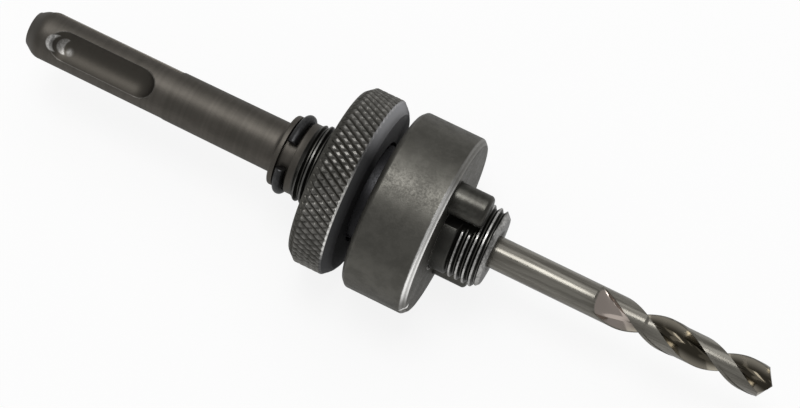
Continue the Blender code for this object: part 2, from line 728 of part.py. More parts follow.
def drill_ring(solid, station, depth, height=0.0):
    """One ring of points round the drill.

    The depth goes from 0 on the plain shank to 1 in full flutes. With a height, the ring
    lies that share of the way up from the station to the cone of the point.
    """
    cone_slope = 1.0 / math.tan(math.radians(POINT_HALF_ANGLE))
    ring = []
    for turn in section_turns():
        share = 1.0 - depth * (1.0 - flute_share(turn))
        radius = share * DRILL_RADIUS
        relief = POINT_RELIEF * (1.0 - min(turn % 180.0, LAND_ANGLE) / LAND_ANGLE) * share
        cone = DRILL_TIP - radius * cone_slope - relief
        level = station + (cone - station) * height
        x, y = polar(radius, turn + drill_roll(level))
        ring.append(solid.verts.new((x, y, level)))
    return ring


def bridge(solid, lower, upper):
    """Joins two rings of as many points with four-sided faces."""
    count = len(lower)
    for index in range(count):
        after = (index + 1) % count
        solid.faces.new((lower[index], lower[after], upper[after], upper[index]))


def drill_mesh():
    """Pilot drill: a plain shank whose two flutes deepen, twist and end in a cone point."""
    solid = bmesh.new()
    shank = DRILL_RADIUS - DRILL_END_CHAMFER
    rear = [solid.verts.new((*polar(shank, turn + drill_roll(DRILL_REAR)), DRILL_REAR))
            for turn in section_turns()]
    rings = [rear, drill_ring(solid, DRILL_REAR + DRILL_END_CHAMFER, 0.0)]
    flute_end = DRILL_TIP - DRILL_RADIUS / math.tan(math.radians(POINT_HALF_ANGLE)) - 2 * POINT_RELIEF
    steps = round((flute_end - FLUTE_START) / (1.1 * MM))
    for step in range(steps + 1):
        station = FLUTE_START + (flute_end - FLUTE_START) * step / steps
        run = min(1.0, (station - FLUTE_START) / FLUTE_RUN_OUT)
        rings.append(drill_ring(solid, station, math.sin(run * math.pi / 2)))
    rings.append(drill_ring(solid, flute_end, 1.0, 0.5))
    rings.append(drill_ring(solid, flute_end, 1.0, 1.0))
    for lower, upper in zip(rings, rings[1:]):
        bridge(solid, lower, upper)
    solid.faces.new(list(reversed(rear)))
    apex = solid.verts.new((0.0, 0.0, DRILL_TIP))
    top = rings[-1]
    for index in range(len(top)):
        solid.faces.new((top[index], top[(index + 1) % len(top)], apex))
    bmesh.ops.triangulate(solid, faces=[face for face in solid.faces if len(face.verts) == 4])
    mesh = bpy.data.meshes.new("pilot_drill")
    solid.to_mesh(mesh)
    solid.free()
    return mesh


def make_pilot_drill(parts, cutters, axis):
    """Pilot drill with a ground flat for the set screw's end."""
    drill = add_object("pilot_drill", drill_mesh(), parts, axis)
    half = SCREW_RADIUS + DRILL_FLAT_MARGIN
    low = (DRILL_FLAT_DISTANCE, -DRILL_RADIUS, SCREW_STATION - half)
    high = (DRILL_RADIUS + CUTTER_MARGIN, DRILL_RADIUS, SCREW_STATION + half)
    flat = add_cutter("drill_flat", block_mesh("drill_flat", low, high), cutters, axis)
    flat.rotation_euler = (0.0, 0.0, math.radians(SCREW_ROLL))
    cut(drill, [flat])
    dress(drill, metal("polished_tool_steel", (0.62, 0.60, 0.57), 0.16))


def make_set_screw(parts, cutters, axis):
    """Headless screw with a hex socket outside and a flat point on the drill."""
    point = SCREW_RADIUS - SCREW_POINT_LENGTH
    outline = [
        (0.0, SCREW_OUTER_END),
        (SCREW_RADIUS, SCREW_OUTER_END),
        (SCREW_RADIUS, SCREW_INNER_END + SCREW_POINT_LENGTH),
        (point, SCREW_INNER_END),
        (0.0, SCREW_INNER_END),
    ]
    mesh = turned_mesh("drill_set_screw", outline, PIN_FACETS)
    screw = add_object("drill_set_screw", mesh, parts, axis)
    place_across(screw, SCREW_STATION, SCREW_ROLL)
    hexagon = [polar(SCREW_SOCKET_RADIUS, turn) for turn in range(0, 360, 60)]
    low = SCREW_OUTER_END - SCREW_SOCKET_DEPTH
    high = SCREW_OUTER_END + CUTTER_MARGIN
    socket = add_cutter("hex_socket", extruded_mesh("hex_socket", hexagon, low, high), cutters, axis)
    place_across(socket, SCREW_STATION, SCREW_ROLL)
    cut(screw, [socket])
    dress(screw, metal("set_screw_steel", (0.08, 0.08, 0.08), 0.35))


def make_axis_empties(parts):
    """The arbor's axis, with the empties that carry the collar's travel and the nut's turn."""
    axis = add_object("arbor_axis", None, parts)
    axis.location = (AXIS_ORIGIN_X, 0.0, AXIS_HEIGHT)
    axis.rotation_euler = (0.0, math.radians(-90.0), math.radians(180.0))
    collar_travel = add_object("collar_travel", None, parts, axis)
    nut_turn = add_object("nut_turn", None, parts, collar_travel)
    return axis, collar_travel, nut_turn


def main():
    for item in list(bpy.data.objects):
        bpy.data.objects.remove(item)
    parts = new_collection("hole_saw_arbor")
    cutters = new_collection("cutters")
    axis, collar_travel, nut_turn = make_axis_empties(parts)
    make_arbor_body(parts, cutters, axis)
    make_rear_snap_ring(parts, axis)
    make_pilot_drill(parts, cutters, axis)
    make_set_screw(parts, cutters, axis)
    make_drive_collar(parts, cutters, collar_travel)
    make_drive_pins(parts, collar_travel)
    make_nut_snap_ring(parts, collar_travel)
    make_lock_nut(parts, cutters, nut_turn)


main()
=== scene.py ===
"""Hole saw arbor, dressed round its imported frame.

Stations are millimetres along the arbor's axis, from the front face of the drive collar
towards the drill point. A roll is an angle in degrees about the axis, from straight up
towards the front (-Y). Radii are millimetres from the axis, and FAR is one beyond every
surface. A Span is two ends, and a Fade is two ends with a mask's values at them.
"""

import json
import logging
import math
from dataclasses import dataclass, field
from enum import Enum

import bmesh
import bpy
import numpy as np
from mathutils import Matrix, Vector

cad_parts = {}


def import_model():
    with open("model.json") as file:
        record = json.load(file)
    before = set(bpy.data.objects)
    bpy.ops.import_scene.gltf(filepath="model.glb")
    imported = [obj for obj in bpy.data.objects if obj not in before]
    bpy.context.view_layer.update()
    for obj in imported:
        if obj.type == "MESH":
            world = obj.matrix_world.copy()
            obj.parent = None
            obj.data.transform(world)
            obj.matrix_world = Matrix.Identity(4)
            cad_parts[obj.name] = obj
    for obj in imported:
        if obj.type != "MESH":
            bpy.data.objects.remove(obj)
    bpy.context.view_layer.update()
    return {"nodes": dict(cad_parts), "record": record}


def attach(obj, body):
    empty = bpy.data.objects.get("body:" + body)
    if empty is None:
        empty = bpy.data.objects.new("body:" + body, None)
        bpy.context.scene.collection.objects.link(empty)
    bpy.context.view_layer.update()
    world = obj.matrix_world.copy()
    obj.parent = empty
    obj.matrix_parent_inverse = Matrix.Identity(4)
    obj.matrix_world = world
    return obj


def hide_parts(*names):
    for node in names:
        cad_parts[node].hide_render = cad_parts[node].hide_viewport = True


MM = 0.001
FAR = 99.0
LOG = logging.getLogger("hole_saw_arbor")

Corner = tuple[float, float, float]
Colour = tuple[float, float, float]
Span = tuple[float, float]
Fade = tuple[float, float, float, float]
Socket = bpy.types.NodeSocket


@dataclass(frozen=True)
class ArborAxis:
    """Where the arbor's axis lies in the row frame, in millimetres."""

    origin_x: float
    height: float

    @classmethod
    def from_record(cls, record: dict, rear_end: float) -> "ArborAxis":
        """Reads the axis from the record's mount on the end of the shank.

        Args:
            record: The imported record.
            rear_end: Station of the shank's end face.

        Returns:
            The axis.
        """
        places = {mount["name"]: mount["pos_m"] for mount in record["mounts"]}
        x, _, z = places["shank_end"]
        return cls(x / MM - rear_end, z / MM)

    def place(self, station: np.ndarray, radius: np.ndarray, roll: np.ndarray) -> np.ndarray:
        """Turns stations, radii and rolls into points of the row frame.

        Args:
            station: Stations in millimetres.
            radius: Radii in millimetres.
            roll: Rolls in degrees.

        Returns:
            Points in metres, along a new last axis.
        """
        station, radius, roll = np.broadcast_arrays(station, radius, np.radians(roll))
        across = -radius * np.sin(roll)
        up = self.height + radius * np.cos(roll)
        return np.stack([station + self.origin_x, across, up], axis=-1) * MM


class Skin:
    """Gathers the patches of one closed mesh and welds them where they meet."""

    WELD = 0.000001

    def __init__(self) -> None:
        """Starts with no patches."""
        self.points: list[np.ndarray] = []
        self.faces: list[tuple[int, ...]] = []
        self.count = 0

    def add_points(self, points: np.ndarray) -> np.ndarray:
        """Adds points and returns their indices, in the same arrangement.

        Args:
            points: Points along the last axis, in any arrangement.

        Returns:
            Their indices, in the same arrangement.
        """
        flat = points.reshape(-1, 3)
        self.points.append(flat)
        index = self.count + np.arange(len(flat)).reshape(points.shape[:-1])
        self.count += len(flat)
        return index

    def add_grid(self, grid: np.ndarray) -> None:
        """Adds a sheet of four-sided faces over rows and columns of points.

        Args:
            grid: Rows and columns of points.
        """
        index = self.add_points(grid)
        quads = np.stack([index[:-1, :-1], index[:-1, 1:], index[1:, 1:], index[1:, :-1]], axis=-1)
        self.faces.extend(map(tuple, quads.reshape(-1, 4).tolist()))

    def add_split_grid(self, grid: np.ndarray, rising: np.ndarray) -> None:
        """Adds a sheet whose cells are each cut in two along a chosen diagonal.

        Args:
            grid: Rows and columns of points.
            rising: For each cell, True to cut from its first corner to the opposite one.
        """
        index = self.add_points(grid)
        a, b, c, d = index[:-1, :-1], index[:-1, 1:], index[1:, 1:], index[1:, :-1]
        pick = rising[..., None]
        first = np.where(pick, np.stack([a, b, c], -1), np.stack([a, b, d], -1))
        second = np.where(pick, np.stack([a, c, d], -1), np.stack([b, c, d], -1))
        for part in (first, second):
            self.faces.extend(map(tuple, part.reshape(-1, 3).tolist()))

    def stitch(
        self, lower: np.ndarray, upper: np.ndarray, rolls: tuple[np.ndarray, np.ndarray]
    ) -> None:
        """Joins two rings that have different numbers of points.

        Args:
            lower: Points of the first ring.
            upper: Points of the second ring.
            rolls: The rolls of both rings' points, rising over the same turn.
        """
        low, high = self.add_points(lower), self.add_points(upper)
        i, j = 0, 0
        while i < len(low) - 1 or j < len(high) - 1:
            next_low = rolls[0][i + 1] if i < len(low) - 1 else math.inf
            next_high = rolls[1][j + 1] if j < len(high) - 1 else math.inf
            if next_low <= next_high:
                self.faces.append((int(low[i]), int(low[i + 1]), int(high[j])))
                i += 1
            else:
                self.faces.append((int(low[i]), int(high[j + 1]), int(high[j])))
                j += 1

    def mesh(self, name: str) -> bpy.types.Mesh:
        """Makes one welded mesh with its faces turned outwards.

        Args:
            name: The mesh's name.

        Returns:
            The mesh.
        """
        mesh = bpy.data.meshes.new(name)
        mesh.from_pydata(np.concatenate(self.points).tolist(), [], self.faces)
        solid = bmesh.new()
        solid.from_mesh(mesh)
        bmesh.ops.remove_doubles(solid, verts=solid.verts, dist=self.WELD)
        bmesh.ops.recalc_face_normals(solid, faces=solid.faces)
        solid.to_mesh(mesh)
        solid.free()
        return mesh


def rounded(profile: list[Corner], steps: int = 3) -> np.ndarray:
    """Rounds the corners of a half section.

    Args:
        profile: Stations and radii of the corners, each with the length that its rounding
            takes from either side.
        steps: How many short edges make up one rounding.

    Returns:
        Stations and radii of the finished outline, one pair to a row.
    """
    corners = np.array(profile, float)
    points = [corners[0, :2]]
    for before, corner, after in zip(corners, corners[1:], corners[2:]):
        here = corner[:2]
        back, ahead = before[:2] - here, after[:2] - here
        lengths = np.hypot(*back), np.hypot(*ahead)
        size = min(corner[2], 0.45 * lengths[0], 0.45 * lengths[1])
        if size < 0.01:
            points.append(here)
            continue
        start, end = here + back / lengths[0] * size, here + ahead / lengths[1] * size
        for t in np.linspace(0.0, 1.0, steps + 1):
            points.append((1 - t) ** 2 * start + 2 * t * (1 - t) * here + t**2 * end)
    points.append(corners[-1, :2])
    return np.array(points)


def even_rolls(columns: int) -> np.ndarray:
    """Rolls of a whole turn, with the seam's roll at both ends."""
    return np.linspace(0.0, 360.0, columns + 1)


def soft_least(a: np.ndarray, b: np.ndarray, blend: float) -> np.ndarray:
    """The smaller of two values, rounded off where they cross over a width of blend."""
    share = np.clip(0.5 + 0.5 * (b - a) / blend, 0.0, 1.0)
    return b + (a - b) * share - blend * share * (1.0 - share)


def ease(value: np.ndarray, low: float, high: float) -> np.ndarray:
    """Rises smoothly from 0 at low to 1 at high."""
    share = np.clip((value - low) / (high - low), 0.0, 1.0)
    return share * share * (3.0 - 2.0 * share)


def thinned(values: object, gap: float) -> np.ndarray:
    """Sorts values and drops each that is no more than a gap beyond the one before it."""
    values = np.unique(np.round(values, 3))
    return values[np.append(True, np.diff(values) > gap)]


def away_from(rolls: np.ndarray, roll: float) -> np.ndarray:
    """Signed angles in radians from a roll to others, the short way round."""
    return np.radians((rolls - roll + 180.0) % 360.0 - 180.0)


def polar(out: object, across: object, roll: float) -> tuple[np.ndarray, np.ndarray]:
    """Finds points by how far out they are towards a roll and how far beside it.

    Args:
        out: Distances from the axis towards the roll.
        across: Distances square to that.
        roll: The roll.

    Returns:
        Radii and rolls of the points.
    """
    turn = math.radians(roll)
    up = out * math.cos(turn) - across * math.sin(turn)
    front = out * math.sin(turn) + across * math.cos(turn)
    return np.hypot(up, front), np.degrees(np.arctan2(front, up))


def cut_away(mesh: bpy.types.Mesh, tools: list[bpy.types.Mesh]) -> bpy.types.Mesh:
    """Cuts a mesh with others.

    Args:
        mesh: The mesh to cut.
        tools: Closed meshes to take out of it, in turn.

    Returns:
        The cut mesh.
    """
    blank = bpy.data.objects.new(mesh.name, mesh)
    bpy.context.scene.collection.objects.link(blank)
    cutters = []
    for tool in tools:
        cutter = bpy.data.objects.new(tool.name, tool)
        bpy.context.scene.collection.objects.link(cutter)
        cutters.append(cutter)
        boolean = blank.modifiers.new(tool.name, "BOOLEAN")
        boolean.operation, boolean.solver, boolean.object = "DIFFERENCE", "EXACT", cutter
    bpy.context.view_layer.update()
    evaluated = blank.evaluated_get(bpy.context.evaluated_depsgraph_get())
    result = bpy.data.meshes.new_from_object(evaluated)
    result.name = mesh.name
    for item in [blank, *cutters]:
        bpy.data.objects.remove(item)
    return result


class Graph:
    """Adds and joins nodes in one node tree."""

    def __init__(self, tree: bpy.types.NodeTree) -> None:
        """Works in the given tree."""
        self.tree = tree

    def add(self, kind: str, inputs: dict | None = None, **settings: object) -> bpy.types.Node:
        """Adds a node.

        Args:
            kind: The node's type.
            inputs: Values or sockets for its inputs, by name or index.
            **settings: Values for the node's own properties.

        Returns:
            The node.
        """
        node = self.tree.nodes.new(kind)
        for name, value in settings.items():
            setattr(node, name, value)
        for name, value in (inputs or {}).items():
            self.feed(node.inputs[name], value)
        return node

    def feed(self, socket: Socket, value: object) -> None:
        """Joins an input to a socket, or sets its value.

        Args:
            socket: The input.
            value: A socket, a number, or a colour of three numbers.
        """
        if isinstance(value, bpy.types.NodeSocket):
            self.tree.links.new(value, socket)
        elif isinstance(value, tuple) and len(value) == 3 and socket.type == "RGBA":
            socket.default_value = (*value, 1.0)
        else:
            socket.default_value = value

    def math(self, operation: str, a: object, b: object = 0.0, clamp: bool = False) -> Socket:
        """Works out one sum of two values and returns its output."""
        inputs = {0: a} if operation in ("SINE", "COSINE", "SQRT", "ABSOLUTE") else {0: a, 1: b}
        return self.add("ShaderNodeMath", inputs, operation=operation, use_clamp=clamp).outputs[0]

    def ramp(
        self, value: object, low: float, high: float, start: float = 0.0, end: float = 1.0
    ) -> Socket:
        """Maps a value smoothly from low..high to start..end."""
        inputs = {0: value, 1: low, 2: high, 3: start, 4: end}
        return self.add("ShaderNodeMapRange", inputs, interpolation_type="SMOOTHSTEP").outputs[0]

    def mix(self, data_type: str, suffix: str, factor: object, a: object, b: object) -> Socket:
        """Mixes two colours or two values.

        Args:
            data_type: What is mixed, as the Mix node names it.
            suffix: How the node's sockets of that type end.
            factor: Share of the second one.
            a: The first one.
            b: The second one.

        Returns:
            The mixture.
        """
        node = self.add("ShaderNodeMix", data_type=data_type)
        given = {"Factor_Float": factor, f"A_{suffix}": a, f"B_{suffix}": b}
        for socket in node.inputs:
            if socket.identifier in given:
                self.feed(socket, given[socket.identifier])
        return next(socket for socket in node.outputs if socket.identifier == f"Result_{suffix}")

    def blend(self, factor: object, a: object, b: object) -> Socket:
        """Mixes two colours."""
        return self.mix("RGBA", "Color", factor, a, b)

    def level(self, factor: object, a: object, b: object) -> Socket:
        """Mixes two values."""
        return self.mix("FLOAT", "Float", factor, a, b)

    def product(self, first: object, *others: object) -> object:
        """Multiplies masks.

        Args:
            first: The first mask.
            *others: The other masks or shares.

        Returns:
            The product.
        """
        for other in others:
            first = self.math("MULTIPLY", first, other)
        return first

    def largest(self, first: object, *others: object) -> object:
        """The largest of some masks.

        Args:
            first: The first mask.
            *others: The other masks.

        Returns:
            The largest at each point.
        """
        for other in others:
            first = self.math("MAXIMUM", first, other)
        return first

    def hypotenuse(self, a: object, b: object) -> Socket:
        """Length of the long side over two short ones."""
        squares = self.math("ADD", self.math("MULTIPLY", a, a), self.math("MULTIPLY", b, b))
        return self.math("SQRT", squares)

    def vector(self, x: object, y: object, z: object) -> Socket:
        """Makes a vector of three values."""
        return self.add("ShaderNodeCombineXYZ", {0: x, 1: y, 2: z}).outputs[0]

    def noise(self, vector: object, scale: object, detail: float, roughness: float = 0.55) -> Socket:
        """Noise from 0 to 1."""
        inputs = {"Vector": vector, "Scale": scale, "Detail": detail, "Roughness": roughness}
        return self.add("ShaderNodeTexNoise", inputs).outputs[0]


class Effect(Enum):
    """The node groups that the metals share."""

    TURNED_PLACE = "Turned Place"
    TURNING_MARKS = "Turning Marks"
    EDGE_WEAR = "Edge Wear"
    MOTTLING = "Mottling"


class Effects:
    """Builds each shared node group once and places it in materials."""

    def __init__(self, axis: ArborAxis) -> None:
        """Builds the groups for an axis.

        Args:
            axis: The arbor's axis.
        """
        self.axis = axis
        self.groups: dict[Effect, bpy.types.NodeTree] = {}
        self.build_turned_place()
        self.build_turning_marks()
        self.build_edge_wear()
        self.build_mottling()

    def start(
        self, effect: Effect, inputs: dict[str, float], outputs: list[str]
    ) -> tuple[Graph, bpy.types.Node, bpy.types.Node]:
        """Starts a node group with named value sockets.

        Args:
            effect: Which group it is.
            inputs: Names of the inputs, with their default values.
            outputs: Names of the outputs.

        Returns:
            Its graph, input node and output node.
        """
        group = bpy.data.node_groups.new(effect.value, "ShaderNodeTree")
        for name, value in inputs.items():
            socket = group.interface.new_socket(name, in_out="INPUT", socket_type="NodeSocketFloat")
            socket.default_value = value
        for name in outputs:
            group.interface.new_socket(name, in_out="OUTPUT", socket_type="NodeSocketFloat")
        self.groups[effect] = group
        graph = Graph(group)
        return graph, graph.add("NodeGroupInput"), graph.add("NodeGroupOutput")

    def use(self, graph: Graph, effect: Effect, **inputs: object) -> bpy.types.Node:
        """Places a group in a tree.

        Args:
            graph: The tree to work in.
            effect: Which group.
            **inputs: Values or sockets, with underscores for the spaces in their names.

        Returns:
            The group's node.
        """
        node = graph.add("ShaderNodeGroup", node_tree=self.groups[effect])
        for name, value in inputs.items():
            graph.feed(node.inputs[name.replace("_", " ").title()], value)
        return node

    def build_turned_place(self) -> None:
        """Group that gives a point's station, radius and roll in turns."""
        graph, _, out = self.start(Effect.TURNED_PLACE, {}, ["Station", "Radius", "Turn"])
        place = graph.add("ShaderNodeTexCoord").outputs["Object"]
        parts = graph.add("ShaderNodeSeparateXYZ", {0: place}).outputs
        station = graph.math("SUBTRACT", graph.math("DIVIDE", parts[0], MM), self.axis.origin_x)
        across = graph.math("DIVIDE", parts[1], -MM)
        up = graph.math("SUBTRACT", graph.math("DIVIDE", parts[2], MM), self.axis.height)
        graph.feed(out.inputs["Station"], station)
        graph.feed(out.inputs["Radius"], graph.hypotenuse(across, up))
        turn = graph.math("DIVIDE", graph.math("ARCTAN2", across, up), math.tau)
        graph.feed(out.inputs["Turn"], turn)

    def build_turning_marks(self) -> None:
        """Group for the fine rings that a lathe or a grinder leaves."""
        defaults = {"Station": 0.0, "Radius": 0.0, "Turn": 0.0, "Rings Per Mm": 6.0, "Waviness": 0.3}
        graph, given, out = self.start(Effect.TURNING_MARKS, defaults, ["Height", "Streaks"])
        rings = given.outputs["Rings Per Mm"]
        angle = graph.math("MULTIPLY", given.outputs["Turn"], math.tau)
        sway_x = graph.math("MULTIPLY", graph.math("SINE", angle), given.outputs["Waviness"])
        sway_y = graph.math("MULTIPLY", graph.math("COSINE", angle), given.outputs["Waviness"])
        along = graph.math("ADD", graph.math("MULTIPLY", given.outputs["Station"], rings), sway_x)
        outward = graph.math("ADD", graph.math("MULTIPLY", given.outputs["Radius"], rings), sway_y)
        fine = graph.noise(graph.vector(along, outward, sway_x), 1.0, 2.0)
        broad = graph.noise(graph.vector(along, outward, sway_y), 0.22, 2.0)
        graph.feed(out.inputs["Height"], fine)
        graph.feed(out.inputs["Streaks"], graph.ramp(broad, 0.35, 0.65))

    def build_edge_wear(self) -> None:
        """Group for metal rubbed bright along an edge, in broken patches."""
        defaults = {"Distance": 0.0, "Width": 0.4, "Breakup": 0.6, "Grain": 1.5}
        graph, given, out = self.start(Effect.EDGE_WEAR, defaults, ["Mask"])
        place = graph.add("ShaderNodeTexCoord").outputs["Object"]
        noise = graph.noise(place, graph.math("DIVIDE", given.outputs["Grain"], MM), 3.0)
        away = graph.math("ABSOLUTE", given.outputs["Distance"])
        reach = graph.math("DIVIDE", away, given.outputs["Width"])
        rough = graph.math("MULTIPLY", graph.math("SUBTRACT", noise, 0.5), given.outputs["Breakup"])
        graph.feed(out.inputs["Mask"], graph.ramp(graph.math("SUBTRACT", reach, rough), 1.0, 0.3))

    def build_mottling(self) -> None:
        """Group for the crystalline blotches of phosphate and oxide coats."""
        defaults = {"Coarse": 0.25, "Fine": 1.6, "Contrast": 1.0}
        graph, given, out = self.start(Effect.MOTTLING, defaults, ["Blotches", "Specks"])
        place = graph.add("ShaderNodeTexCoord").outputs["Object"]
        bands = (("Coarse", 0.38, 0.62, "Blotches"), ("Fine", 0.42, 0.60, "Specks"))
        for name, low, high, pick in bands:
            scale = graph.math("DIVIDE", given.outputs[name], MM)
            mask = graph.ramp(graph.noise(place, scale, 5.0, 0.62), low, high)
            centred = graph.math("SUBTRACT", mask, 0.5)
            centred = graph.math("MULTIPLY", centred, given.outputs["Contrast"])
            graph.feed(out.inputs[pick], graph.math("ADD", centred, 0.5, clamp=True))


@dataclass(frozen=True)
class SteelFinish:
    """A steel surface: its coat, its bare metal (for real wear and for painted highlights) and how it
    was machined.
    """

    name: str
    coat: Colour
    coat_dark: Colour
    # Colour of bare metal, laid on real wear and on painted highlights.
    wear_and_highlight: Colour
    roughness: float
    worn_roughness: float
    rings_per_mm: float = 6.0
    mark_depth: float = 0.004
    fleck: float = 0.0
    edge_tint: Colour = (0.68, 0.68, 0.68)
    grain: float = 1.6

    def material(self, effects: Effects) -> bpy.types.Material:
        """Makes the material, each finish in its own way."""
        raise NotImplementedError

    def begin(self, effects: Effects) -> tuple[Graph, bpy.types.Material, dict[str, Socket]]:
        """Starts the material with the place, marks and mottling that every steel has.

        Args:
            effects: The shared node groups.

        Returns:
            Its graph, the material and the sockets by name.
        """
        material = bpy.data.materials.new(self.name)
        material.use_nodes = True
        material.node_tree.nodes.clear()
        graph = Graph(material.node_tree)
        place = effects.use(graph, Effect.TURNED_PLACE).outputs
        marks = effects.use(
            graph,
            Effect.TURNING_MARKS,
            station=place["Station"],
            radius=place["Radius"],
            turn=place["Turn"],
            rings_per_mm=self.rings_per_mm,
        ).outputs
        blotches = effects.use(graph, Effect.MOTTLING, fine=self.grain).outputs
        sockets = {name: place[name] for name in ("Station", "Radius", "Turn")}
        sockets |= {"Height": marks["Height"], "Streaks": marks["Streaks"]}
        sockets |= {"Blotches": blotches["Blotches"], "Specks": blotches["Specks"]}
        return graph, material, sockets

    def finish(
        self,
        graph: Graph,
        sockets: dict[str, Socket],
        wear_and_highlight: object,
        coat: object | None = None,
        roughness: object | None = None,
        metallic: object = 1.0,
    ) -> None:
        """Mixes coat and bare metal into the shader; the bare-metal mask holds real wear and painted
        highlights alike.

        Args:
            graph: The material's graph.
            sockets: The sockets that begin gave.
            wear_and_highlight: Mask of the bare metal, for real wear and for painted highlights.
            coat: Colour of the coat, or None for the finish's own.
            roughness: Roughness of the coat, or None for the finish's own.
            metallic: How metallic the surface is.
        """
        if coat is None:
            shade = graph.level(0.6, sockets["Blotches"], sockets["Streaks"])
            coat = graph.blend(shade, self.coat_dark, self.coat)
        if roughness is None:
            roughness = self.roughness
        speckled = graph.math("MULTIPLY", graph.math("SUBTRACT", sockets["Specks"], 0.5), self.fleck)
        rough = graph.math("ADD", graph.level(wear_and_highlight, roughness, self.worn_roughness), speckled)
        height = graph.level(0.3, sockets["Height"], sockets["Specks"])
        bump = graph.add(
            "ShaderNodeBump", {"Strength": 0.5, "Distance": self.mark_depth * MM, "Height": height}
        )
        shader = graph.add(
            "ShaderNodeBsdfPrincipled",
            {
                "Base Color": graph.blend(wear_and_highlight, coat, self.wear_and_highlight),
                "Roughness": rough,
                "Metallic": metallic,
                "Specular Tint": self.edge_tint,
                "Normal": bump.outputs[0],
            },
        )
        out = graph.add("ShaderNodeOutputMaterial")
        graph.feed(out.inputs["Surface"], shader.outputs[0])

    def towards(self, graph: Graph, sockets: dict[str, Socket], roll: float) -> Socket:
        """Cosine of the angle from a roll, which is 1 where the surface looks that way."""
        turn = graph.math("SUBTRACT", sockets["Turn"], roll / 360.0)
        return graph.math("COSINE", graph.math("MULTIPLY", turn, math.tau))

    def reach(self, graph: Graph, sockets: dict[str, Socket], station: float, roll: float) -> Socket:
        """Distance in millimetres from a place on the turned surface, on either side of the axis.

        Args:
            graph: The material's graph.
            sockets: The sockets that begin gave.
            station: Station of the place.
            roll: Roll of the place.

        Returns:
            The distance.
        """
        angle = graph.math("MULTIPLY", graph.math("SUBTRACT", sockets["Turn"], roll / 360.0), math.tau)
        across = graph.math("MULTIPLY", sockets["Radius"], graph.math("SINE", angle))
        along = graph.math("SUBTRACT", sockets["Station"], station)
        return graph.hypotenuse(across, along)


class Shading(Enum):
    """Angle in degrees from which an edge of a piece stays sharp."""

    TURNED = 40.0
    FACETED = 14.0


@dataclass
class Workshop:
    """What every sub-assembly needs: the axis, the shared effects and the materials made so far."""

    axis: ArborAxis
    effects: Effects
    materials: dict[str, bpy.types.Material] = field(default_factory=dict)

    def material(self, finish: SteelFinish) -> bpy.types.Material:
        """The material of a finish, which is made once.

        Args:
            finish: The finish.

        Returns:
            Its material.
        """
        if finish.name not in self.materials:
            self.materials[finish.name] = finish.material(self.effects)
        return self.materials[finish.name]

    def turned(self, profile: np.ndarray, rolls: np.ndarray) -> np.ndarray:
        """Turns an outline of stations and radii about the axis into a grid of points."""
        return self.axis.place(profile[:, :1], profile[:, 1:2], rolls[None, :])


@dataclass
class Piece:
    """A part of the arbor that is built as one closed mesh and wears one finish."""

    shop: Workshop

    def build(self) -> bpy.types.Mesh:
        """Builds the closed mesh, each piece in its own way."""
        raise NotImplementedError

    def dress(
        self, name: str, finish: SteelFinish, node: str, body: str, shading: Shading = Shading.TURNED
    ) -> bpy.types.Object:
        """Builds the piece, gives it its finish and puts it in place of its CAD node.

        Args:
            name: The piece's name.
            finish: Its finish, named after the record's material slot.
            node: The CAD node that it stands for.
            body: The body that it rides on.
            shading: How its normals are laid.

        Returns:
            The piece.
        """
        mesh = self.build()
        mesh.name = name
        piece = bpy.data.objects.new(name, mesh)
        bpy.context.scene.collection.objects.link(piece)
        mesh.materials.clear()
        mesh.materials.append(self.shop.material(finish))
        mesh.shade_smooth()
        mesh.set_sharp_from_angle(angle=math.radians(shading.value))
        if shading is Shading.TURNED:
            weighted = piece.modifiers.new("Even normals", "WEIGHTED_NORMAL")
            weighted.keep_sharp = True
        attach(piece, body)
        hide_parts(node)
        return piece


@dataclass(frozen=True)
class ThreadForm:
    """A cut thread with truncated crests and rounded roots."""

    pitch: float = 1.4111
    crest_radius: float = 7.92
    depth: float = 0.70
    crest_half: float = 0.105
    root_half: float = 0.07
    steps: tuple[float, ...] = (-0.105, 0.0, 0.105, 0.14, 0.25, 0.38, 0.43, 0.5, 0.57, 0.62, 0.75, 0.86)

    def sink(self, phase: np.ndarray) -> np.ndarray:
        """How far the form lies below its crest, as a share of its depth.

        Args:
            phase: Distance from a crest, in pitches.

        Returns:
            0 on the crest and 1 in the root.
        """
        away = np.abs(phase - np.round(phase))
        return np.clip((away - self.crest_half) / (0.5 - self.root_half - self.crest_half), 0.0, 1.0)

    def sleeve(
        self,
        axis: ArborAxis,
        crest: float,
        blank: list[tuple[float, float]],
        shares: list[tuple[float, float]],
        rolls: np.ndarray,
    ) -> np.ndarray:
        """A threaded length, with rows of points that follow the helix.

        Args:
            axis: The arbor's axis.
            crest: A station where a crest passes roll 0.
            blank: Rising stations and radii of the blank that the thread is cut in.
            shares: Rising stations and the share of its depth that the thread has there.
            rolls: Rolls of the columns, over a whole turn.

        Returns:
            Rows and columns of points, flat at both ends.
        """
        start, end = blank[0][0], blank[-1][0]
        first = math.floor((start - crest) / self.pitch) - 1
        last = math.ceil((end - crest) / self.pitch)
        phases = np.array([turn + step for turn in range(first, last + 1) for step in self.steps])
        raw = crest + self.pitch * (phases[:, None] + rolls[None, :] / 360.0)
        station = np.clip(raw, start, end)
        share = np.interp(station, *zip(*shares))
        radius = self.crest_radius - self.depth * share * self.sink(phases)[:, None]
        radius = np.minimum(radius, np.interp(station, *zip(*blank)))
        return axis.place(station, radius, rolls[None, :])


